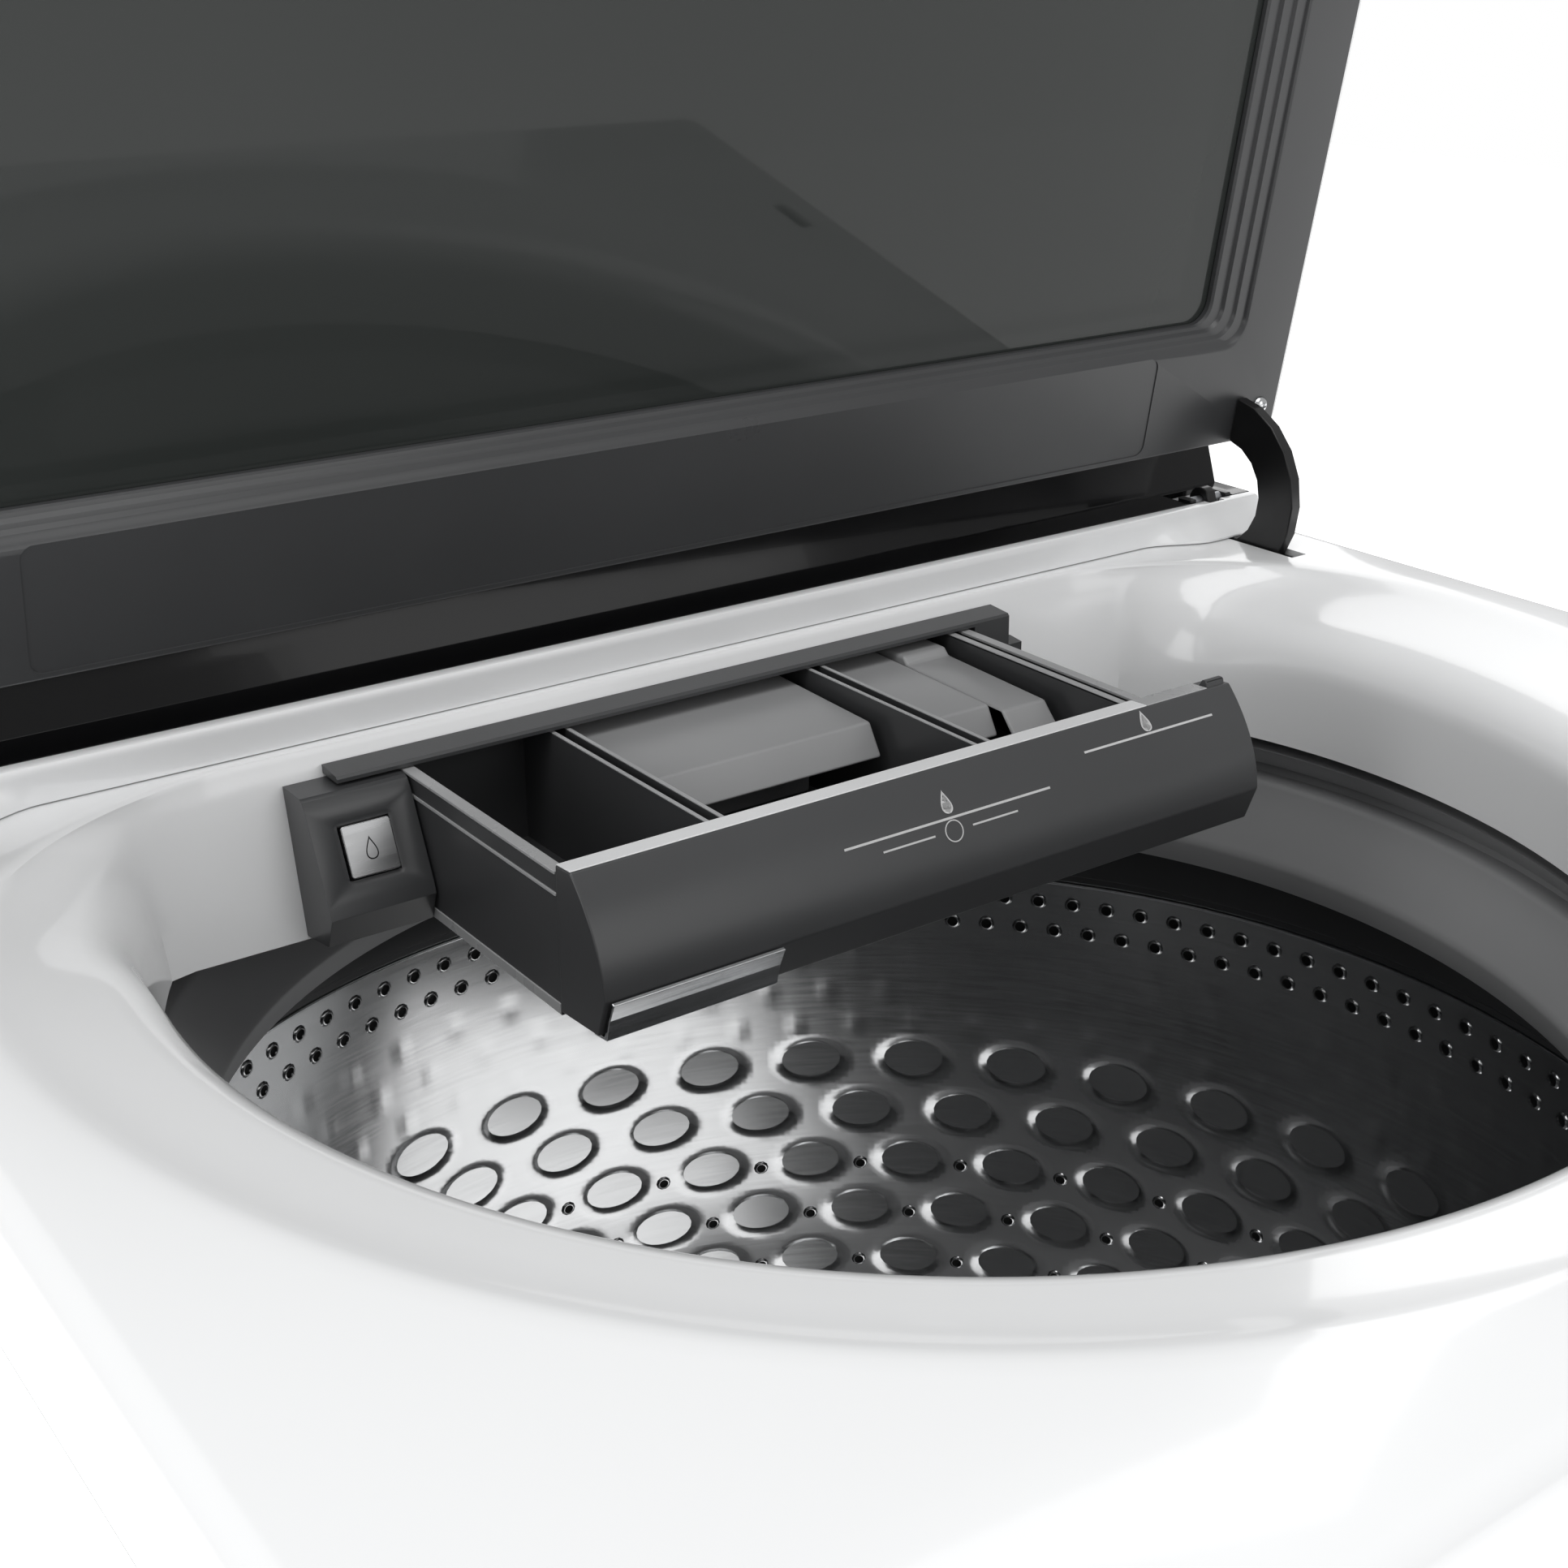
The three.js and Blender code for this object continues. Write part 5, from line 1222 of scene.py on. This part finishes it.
def make_basket():
    """Steel basket: dimpled wall, rounded foot and pressed floor."""
    drum = settings().drum
    columns = 576  # sixteen to each dimple of a row of 36
    floor = BASKET_LOW.z + BASKET_WALL - DECK_Z
    top = BASKET_HIGH.z - DECK_Z
    levels = [top, top - 4, top - 10, top - 18, top - 26, top - 36, -228]
    z = -232.0
    while z > DIMPLE_TOP + 18:
        levels.append(z)
        z -= 5.0
    end = DIMPLE_TOP - (drum.rows - 1) * drum.step / MM - 16
    z = DIMPLE_TOP + 17.0
    while z > end:
        levels.append(z)
        z -= 3.24
    levels += [end - 4, floor + 22, floor + 15]
    rings = []
    for z in levels:
        ring = []
        for i in range(columns):
            a = 2 * math.pi * i / columns
            r = BASKET_IN + (wall_offset(drum, a, z) if z < -226 else 0)
            ring.append(Vector((r * math.cos(a), r * math.sin(a), z)))
        rings.append(ring)

    def plain(r, z):
        turns = [2 * math.pi * i / columns for i in range(columns)]
        return [Vector((r * math.cos(a), r * math.sin(a), z)) for a in turns]

    for t in (30, 60, 90):
        s = math.radians(t)
        rings.append(plain(BASKET_IN - 14 * (1 - math.cos(s)), floor + 15 - 15 * math.sin(s)))
    outside, under = BASKET_HIGH.x, floor - BASKET_WALL
    rings += [plain(240, floor), plain(42, floor), plain(42, under)]
    rings += [plain(outside - 15, under), plain(outside, floor + 15), plain(outside, top)]
    bm = loft(bmesh.new(), rings, closed=True)
    bm.transform(Matrix.Translation((0, 0, DECK_Z)))
    piece("basket_sheet", bm, drum_steel(), "basket", ["basket"], smooth=45)
    bead = [(BASKET_IN - 0.2 + x, BASKET_HIGH.z - 2.2 + z) for x, z in arc(0, 0, 1.3, 0, 324, 9)]
    piece("basket_rim_bead", turned(bmesh.new(), bead, 160), chrome(), "basket", smooth=60)


def scattered(shape, spots):
    """Copies a small bmesh on to the basket's wall at (angle, z, millimetres outwards, scale)."""
    bmesh.ops.recalc_face_normals(shape, faces=shape.faces)
    mesh = bpy.data.meshes.new("shape")
    shape.to_mesh(mesh)
    shape.free()
    bm = bmesh.new()
    for a, z, out, scale in spots:
        inward = Vector((-math.cos(a), -math.sin(a), 0))
        at = inward * -(BASKET_IN + out) + Vector((0, 0, DECK_Z + z))
        side = Vector((0, 0, 1)).cross(inward)
        turn = Matrix((side, inward.cross(side), inward)).transposed().to_4x4()
        before = len(bm.verts)
        bm.from_mesh(mesh)
        bm.verts.ensure_lookup_table()
        place = Matrix.Translation(at) @ turn @ Matrix.Scale(scale, 4)
        bmesh.ops.transform(bm, matrix=place, verts=bm.verts[before:])
    bpy.data.meshes.remove(mesh)
    return bm


def ovals(profile, wide, high, sides):
    """Skin through ovals that follow a profile of (share, z), capped."""
    turns = [2 * math.pi * i / sides for i in range(sides)]
    rings = [[Vector((q * wide * math.cos(t), q * high * math.sin(t), z)) for t in turns] for q, z in profile]
    return loft(bmesh.new(), rings, caps=True)


def make_basket_holes():
    """Rows of punched holes near the rim, larger ones between the dimples, and the dimples' cups of painted
    shade.
    """
    drum = settings().drum
    hole = ovals([(1.55, -0.3), (1.5, 0.05), (1.15, 1.0), (0.95, 1.0), (0.85, 0.12)], 2.9, 2.9, 10)
    for face in hole.faces:
        face.material_index = 1 if len(face.verts) == 10 and face.calc_center_median().z > 0.1 else 0
    spots = []
    for row, z in enumerate(RIM_ROWS):
        for i in range(drum.rim_holes):
            spots.append((2 * math.pi * (i + 0.5 * row) / drum.rim_holes, z, 0, 1.0))
    for row in range(2, drum.rows - 1):
        for i in range(drum.dimples):
            a, z = dimple_place(drum, row, i + 0.5)
            spots.append((a, z - 0.06 * drum.step / MM, 0, 0.95))
    bm = scattered(hole, spots)
    piece("basket_holes", bm, [drum_steel(), hole_black()], "basket", smooth=50)
    # The cups are dark steel laid in the dimples' bottoms: painted shade.
    depth = drum.depth / MM
    profile = [(1.0, -bowl(CUP_SHARE, depth) - 0.4), (0.95, -bowl(CUP_SHARE, depth) + 0.5)]
    profile += [(0.72, -0.5 * depth), (0.46, -0.6 * depth), (0.30, -0.42 * depth), (0.1, -0.38 * depth)]
    cup = ovals(profile, CUP_SHARE * DIMPLE_HALF[0], CUP_SHARE * DIMPLE_HALF[1], 16)
    spots = []
    for row in range(drum.rows):
        for i in range(drum.dimples):
            spots.append((*dimple_place(drum, row, i), 0, 1.0))
    piece("basket_dimple_cups", scattered(cup, spots), cup_shade_steel(), "basket", smooth=50)


def make_wash_plate():
    """Low moulded plate with six swept vanes and a domed cap."""
    low, high = corners("wash_plate")
    r, z = high.x, low.z
    sides = 192

    def level(rad, a):
        dome = 14 + 32 * (1 - smoothstep(rad, 10, 62)) + 6 * (1 - smoothstep(rad, 60, r * 0.6))
        fade = smoothstep(rad, 34, 60) * (1 - smoothstep(rad, r - 30, r - 6))
        swept = a + 0.0018 * (rad - 40)
        vane = max(0.0, math.cos(6 * swept)) ** 10
        edge = -8 * smoothstep(rad, r - 22, r)
        return z + dome + edge + 16 * vane * fade

    radii = [r - 0.3, r - 2, r - 5, r - 9, r - 14, r - 20, r - 28]
    radii += [r - 28 - (r - 66) * i / 14 for i in range(1, 14)] + [34, 28, 22, 16, 10, 5]

    def ring(rad, height):
        turns = [2 * math.pi * i / sides for i in range(sides)]
        return [Vector((rad * math.cos(a), rad * math.sin(a), height(a))) for a in turns]

    rings = [ring(3, lambda a: z), ring(r - 4, lambda a: z), ring(r, lambda a: z + 3)]
    rings += [ring(rad, lambda a, rad=rad: level(rad, a)) for rad in radii]
    bm = loft(bmesh.new(), rings, caps=True)
    piece("wash_plate_moulding", bm, insert_plastic(), "wash_plate", ["wash_plate"], smooth=40)
    refined("basket_hub", cast_metal(), "basket", 0.8)


def make_tub():
    """Outer tub with ribs round it."""
    low, high = corners("outer_tub")
    refined("outer_tub", resin(), "tub", 0.8)
    bm = bmesh.new()
    ro = HALF_W - 19
    for i in range(24):
        rib = bmesh.new()
        block(rib, (ro - 1.5, -1.4, low.z + 60), (ro + 6, 1.4, high.z - 30))
        rib.transform(Matrix.Rotation(2 * math.pi * (i + 0.5) / 24, 4, "Z"))
        copy_into(bm, rib)
    piece("tub_ribs", bm, resin(), "tub")


def make_springs():
    """Coil springs of the suspension."""
    for end in ENDS:
        for side in SIDES:
            node = f"suspension_spring_{end}_{side}"
            low, high = corners(node)
            middle = (low + high) / 2
            r, wire, turns, steps = (high.x - low.x) / 2 - 1.8, 1.7, 7, 24
            rings = []
            for i in range(turns * steps + 1):
                a = 2 * math.pi * i / steps
                z = low.z + wire + (high.z - low.z - 2 * wire) * i / (turns * steps)
                out = Vector((math.cos(a), math.sin(a), 0))
                at = Vector((middle.x, middle.y, z)) + out * r
                rings.append([at + out * wire * math.cos(t) + Vector((0, 0, wire * math.sin(t)))
                              for t in (2 * math.pi * k / 8 for k in range(8))])
            bm = loft(bmesh.new(), rings, caps=True)
            coil = piece(f"coil_spring_{end}_{side}", bm, zinc(), "cabinet", [node], smooth=60)
            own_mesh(coil)


def make_feet():
    """Rubber levelling feet."""
    for end in ENDS:
        for side in SIDES:
            node = f"foot_{end}_{side}"
            low, high = corners(node)
            middle = (low + high) / 2
            bm = bmesh.new()
            profile = [(0, 0), (20, 0), (21.6, 0.8), (22, 2.4), (22, 6), (21, 7.4), (14.5, 9.6), (13, 11)]
            turned(bm, profile + [(7, 11), (7, high.z), (0, high.z)], 48)
            bm.transform(Matrix.Translation((middle.x, middle.y, 0)))
            piece(node + "_pad", bm, rubber(), "cabinet", [node])


REFINED = (  # node, finish, body, slot and the rounding of its edges
    ("base_frame", zinc, "cabinet", "zinc_steel", 0.6),
    ("control_board", board_green, "cabinet", "white_resin", 0.2),
    ("inlet_valve", resin, "cabinet", "white_resin", 0.8),
    ("drain_outlet", black_plastic, "cabinet", "black_plastic", 0.6),
    ("cord_gland", black_plastic, "cabinet", "black_plastic", 0.6),
    ("lid_lock", black_plastic, "cabinet", "black_plastic", 0.8),
    ("gearcase", cast_metal, "tub", "zinc_steel", 1.0),
    ("motor_stator", zinc, "tub", "zinc_steel", 1.0),
    ("pump", black_plastic, "tub", "black_plastic", 1.0),
    ("drain_hose", rubber, "tub", "rubber", 0.1),
    ("driven_pulley", cast_metal, "wash_plate", "cast_aluminium", 0.6),
)


def make_drive():
    """Drive, pump and small parts with their edges rounded."""
    for node, material, body, slot, width in REFINED:
        refined(node, material(), body, width)


PLAIN = {  # finishes of the CAD nodes that stay as they are
    zinc: ["rear_panel", "drive_shaft", "motor_rotor"] + [
        f"suspension_rod_{end}_{side}" for end in ENDS for side in SIDES
    ],
    drum_steel: ["tub_bearing"],
    rubber: ["drive_belt"],
}


def paint_plain_nodes():
    """Gives the CAD nodes that stay their finishes."""
    for material, nodes in PLAIN.items():
        for node in nodes:
            repaint(node, material())


# ---------- stage ----------
CAMERA_AT = Vector((-452.3, -539.8, 289.5))  # from the drum's axis and the deck
CAMERA_HEADING = 36.0  # degrees from the rear towards the right
CAMERA_PITCH = 22.7
CAMERA_LENS = 48.91
WORLD_LIGHT = 0.5  # light that the surroundings give; the backdrop itself is seen at 1
FLOOR_HALF = 9000
LIGHTS = (  # name, place, aim, size, power and spread in degrees
    ("overhead", (-0.3, -0.2, 3.0), (0, 0, 0.9), 1.8, 30, 180),
    ("left_window", (-2.6, 0.2, 1.9), (0, 0, 0.9), 1.5, 14, 180),
    ("front_fill", (0.8, -3.0, 2.0), (0, 0, 0.8), 1.8, 14, 180),
    ("rear_window", (1.6, 2.4, 2.6), (0, 0, 0.9), 2.6, 26, 180),
    ("drum_glow", (0.145, 0.0, 0.39), (0.03, 0.32, 0.56), 0.26, 0.21, 150),
)


def make_stage():
    """Floor, camera, world and lamps."""
    scene = bpy.context.scene
    camera = bpy.data.objects.new("camera", bpy.data.cameras.new("camera"))
    scene.collection.objects.link(camera)
    camera.data.lens = CAMERA_LENS
    camera.data.sensor_width = 36
    camera.location = (CAMERA_AT + Vector((0, 0, DECK_Z))) * MM
    camera.rotation_euler = (math.radians(90 - CAMERA_PITCH), 0, math.radians(-CAMERA_HEADING))
    scene.camera = camera

    bm = bmesh.new()
    bmesh.ops.create_grid(bm, x_segments=1, y_segments=1, size=FLOOR_HALF)
    bm.transform(Matrix.Translation((0, 0, -1)))
    bm.transform(Matrix.Scale(MM, 4))
    mesh = bpy.data.meshes.new("floor")
    bm.to_mesh(mesh)
    bm.free()
    mesh.materials.append(floor_paint())
    floor = bpy.data.objects.new("floor", mesh)
    scene.collection.objects.link(floor)

    world = bpy.data.worlds.new("studio")
    scene.world = world
    world.use_nodes = True
    background = world.node_tree.nodes["Background"]
    background.inputs["Color"].default_value = (1, 1, 1, 1)
    seen = world.node_tree.nodes.new("ShaderNodeLightPath")
    brightness = world.node_tree.nodes.new("ShaderNodeMapRange")
    brightness.inputs["To Min"].default_value = WORLD_LIGHT
    brightness.inputs["To Max"].default_value = 1.0
    world.node_tree.links.new(seen.outputs["Is Camera Ray"], brightness.inputs["Value"])
    world.node_tree.links.new(brightness.outputs[0], background.inputs["Strength"])
    scene.view_settings.view_transform = "Standard"
    for name, at, aim, size, power, spread in LIGHTS:
        light = bpy.data.lights.new(name, "AREA")
        light.energy = power
        light.size = size
        light.spread = math.radians(spread)
        lamp = bpy.data.objects.new(name, light)
        lamp.visible_camera = False
        lamp.location = at
        lamp.rotation_euler = (Vector(aim) - Vector(at)).to_track_quat("-Z", "Y").to_euler()
        scene.collection.objects.link(lamp)


# ---------- the add-on ----------
class WASHER_OT_stage(bpy.types.Operator):
    """Lays the floor and sets up the camera, the world and the lamps"""

    bl_idname = "washer.stage"
    bl_label = "Stage"

    def execute(self, context):
        make_stage()
        return {"FINISHED"}


class WASHER_OT_deck(bpy.types.Operator):
    """Moulds the deck with its dish, mouth, drawer slot and arm slots"""

    bl_idname = "washer.deck"
    bl_label = "Deck"

    def execute(self, context):
        make_deck()
        return {"FINISHED"}


class WASHER_OT_cabinet(bpy.types.Operator):
    """Bends the cabinet's sheet and adds its corner gussets"""

    bl_idname = "washer.cabinet"
    bl_label = "Cabinet"

    def execute(self, context):
        make_cabinet()
        return {"FINISHED"}


class WASHER_OT_strip(bpy.types.Operator):
    """Moulds the strip at the console's foot, the hinge cheeks and their pins"""

    bl_idname = "washer.strip"
    bl_label = "Foot Strip and Hinges"

    def execute(self, context):
        make_strip()
        return {"FINISHED"}


class WASHER_OT_console(bpy.types.Operator):
    """Makes the console's housing, fascia, knob and buttons"""

    bl_idname = "washer.console"
    bl_label = "Console"

    def execute(self, context):
        make_console()
        return {"FINISHED"}


class WASHER_OT_lid(bpy.types.Operator):
    """Makes the lid's frames, window, screws and hinge arms"""

    bl_idname = "washer.lid"
    bl_label = "Lid"

    def execute(self, context):
        make_lid()
        return {"FINISHED"}


class WASHER_OT_drawer(bpy.types.Operator):
    """Makes the dispenser drawer with its front, grip, marks and inserts"""

    bl_idname = "washer.drawer"
    bl_label = "Drawer"

    def execute(self, context):
        make_drawer()
        return {"FINISHED"}


class WASHER_OT_dispenser(bpy.types.Operator):
    """Makes the drawer's bezel and housing and the faucet with its button"""

    bl_idname = "washer.dispenser"
    bl_label = "Dispenser and Faucet"

    def execute(self, context):
        make_dispenser()
        return {"FINISHED"}


class WASHER_OT_rings(bpy.types.Operator):
    """Turns the tub ring and the balance ring"""

    bl_idname = "washer.rings"
    bl_label = "Rings"

    def execute(self, context):
        make_rings()
        return {"FINISHED"}


class WASHER_OT_basket(bpy.types.Operator):
    """Presses the basket's sheet and its dimples and punches its holes"""

    bl_idname = "washer.basket"
    bl_label = "Basket"

    def execute(self, context):
        make_basket()
        make_basket_holes()
        return {"FINISHED"}


class WASHER_OT_wash_plate(bpy.types.Operator):
    """Moulds the wash plate and refines the basket's hub"""

    bl_idname = "washer.wash_plate"
    bl_label = "Wash Plate"

    def execute(self, context):
        make_wash_plate()
        return {"FINISHED"}


class WASHER_OT_tub(bpy.types.Operator):
    """Refines the outer tub and adds its ribs"""

    bl_idname = "washer.tub"
    bl_label = "Outer Tub"

    def execute(self, context):
        make_tub()
        return {"FINISHED"}


class WASHER_OT_springs(bpy.types.Operator):
    """Winds the four suspension springs"""

    bl_idname = "washer.springs"
    bl_label = "Springs"

    def execute(self, context):
        make_springs()
        return {"FINISHED"}


class WASHER_OT_feet(bpy.types.Operator):
    """Turns the four levelling feet"""

    bl_idname = "washer.feet"
    bl_label = "Feet"

    def execute(self, context):
        make_feet()
        return {"FINISHED"}


class WASHER_OT_drive(bpy.types.Operator):
    """Refines the drive, pump and small parts and paints the plain ones"""

    bl_idname = "washer.drive"
    bl_label = "Drive and Small Parts"

    def execute(self, context):
        make_drive()
        paint_plain_nodes()
        return {"FINISHED"}


OPERATORS = (
    WASHER_OT_stage,
    WASHER_OT_deck,
    WASHER_OT_cabinet,
    WASHER_OT_strip,
    WASHER_OT_console,
    WASHER_OT_lid,
    WASHER_OT_drawer,
    WASHER_OT_dispenser,
    WASHER_OT_rings,
    WASHER_OT_basket,
    WASHER_OT_wash_plate,
    WASHER_OT_tub,
    WASHER_OT_springs,
    WASHER_OT_feet,
    WASHER_OT_drive,
)


class WASHER_PT_panel(bpy.types.Panel):
    """Lists the washing machine's settings and its pieces"""

    bl_idname = "WASHER_PT_panel"
    bl_label = "Washing Machine"
    bl_space_type = "VIEW_3D"
    bl_region_type = "UI"
    bl_category = "Washer"

    def draw(self, context):
        washer = context.scene.washer
        for group in (washer.colours, washer.drum, washer.deck):
            box = self.layout.box()
            for name in group.bl_rna.properties.keys():
                if name not in ("rna_type", "name"):
                    box.prop(group, name)
        for operator in OPERATORS:
            self.layout.operator(operator.bl_idname)


CLASSES = (WasherColours, WasherDrum, WasherDeck, WasherSettings, *OPERATORS, WASHER_PT_panel)


def register():
    for cls in CLASSES:
        bpy.utils.register_class(cls)
    bpy.types.Scene.washer = PointerProperty(type=WasherSettings)


def unregister():
    del bpy.types.Scene.washer
    for cls in reversed(CLASSES):
        bpy.utils.unregister_class(cls)


def main():
    register()
    for operator in OPERATORS:
        group, name = operator.bl_idname.split(".")
        getattr(getattr(bpy.ops, group), name)()


if __name__ == "__main__":
    main()
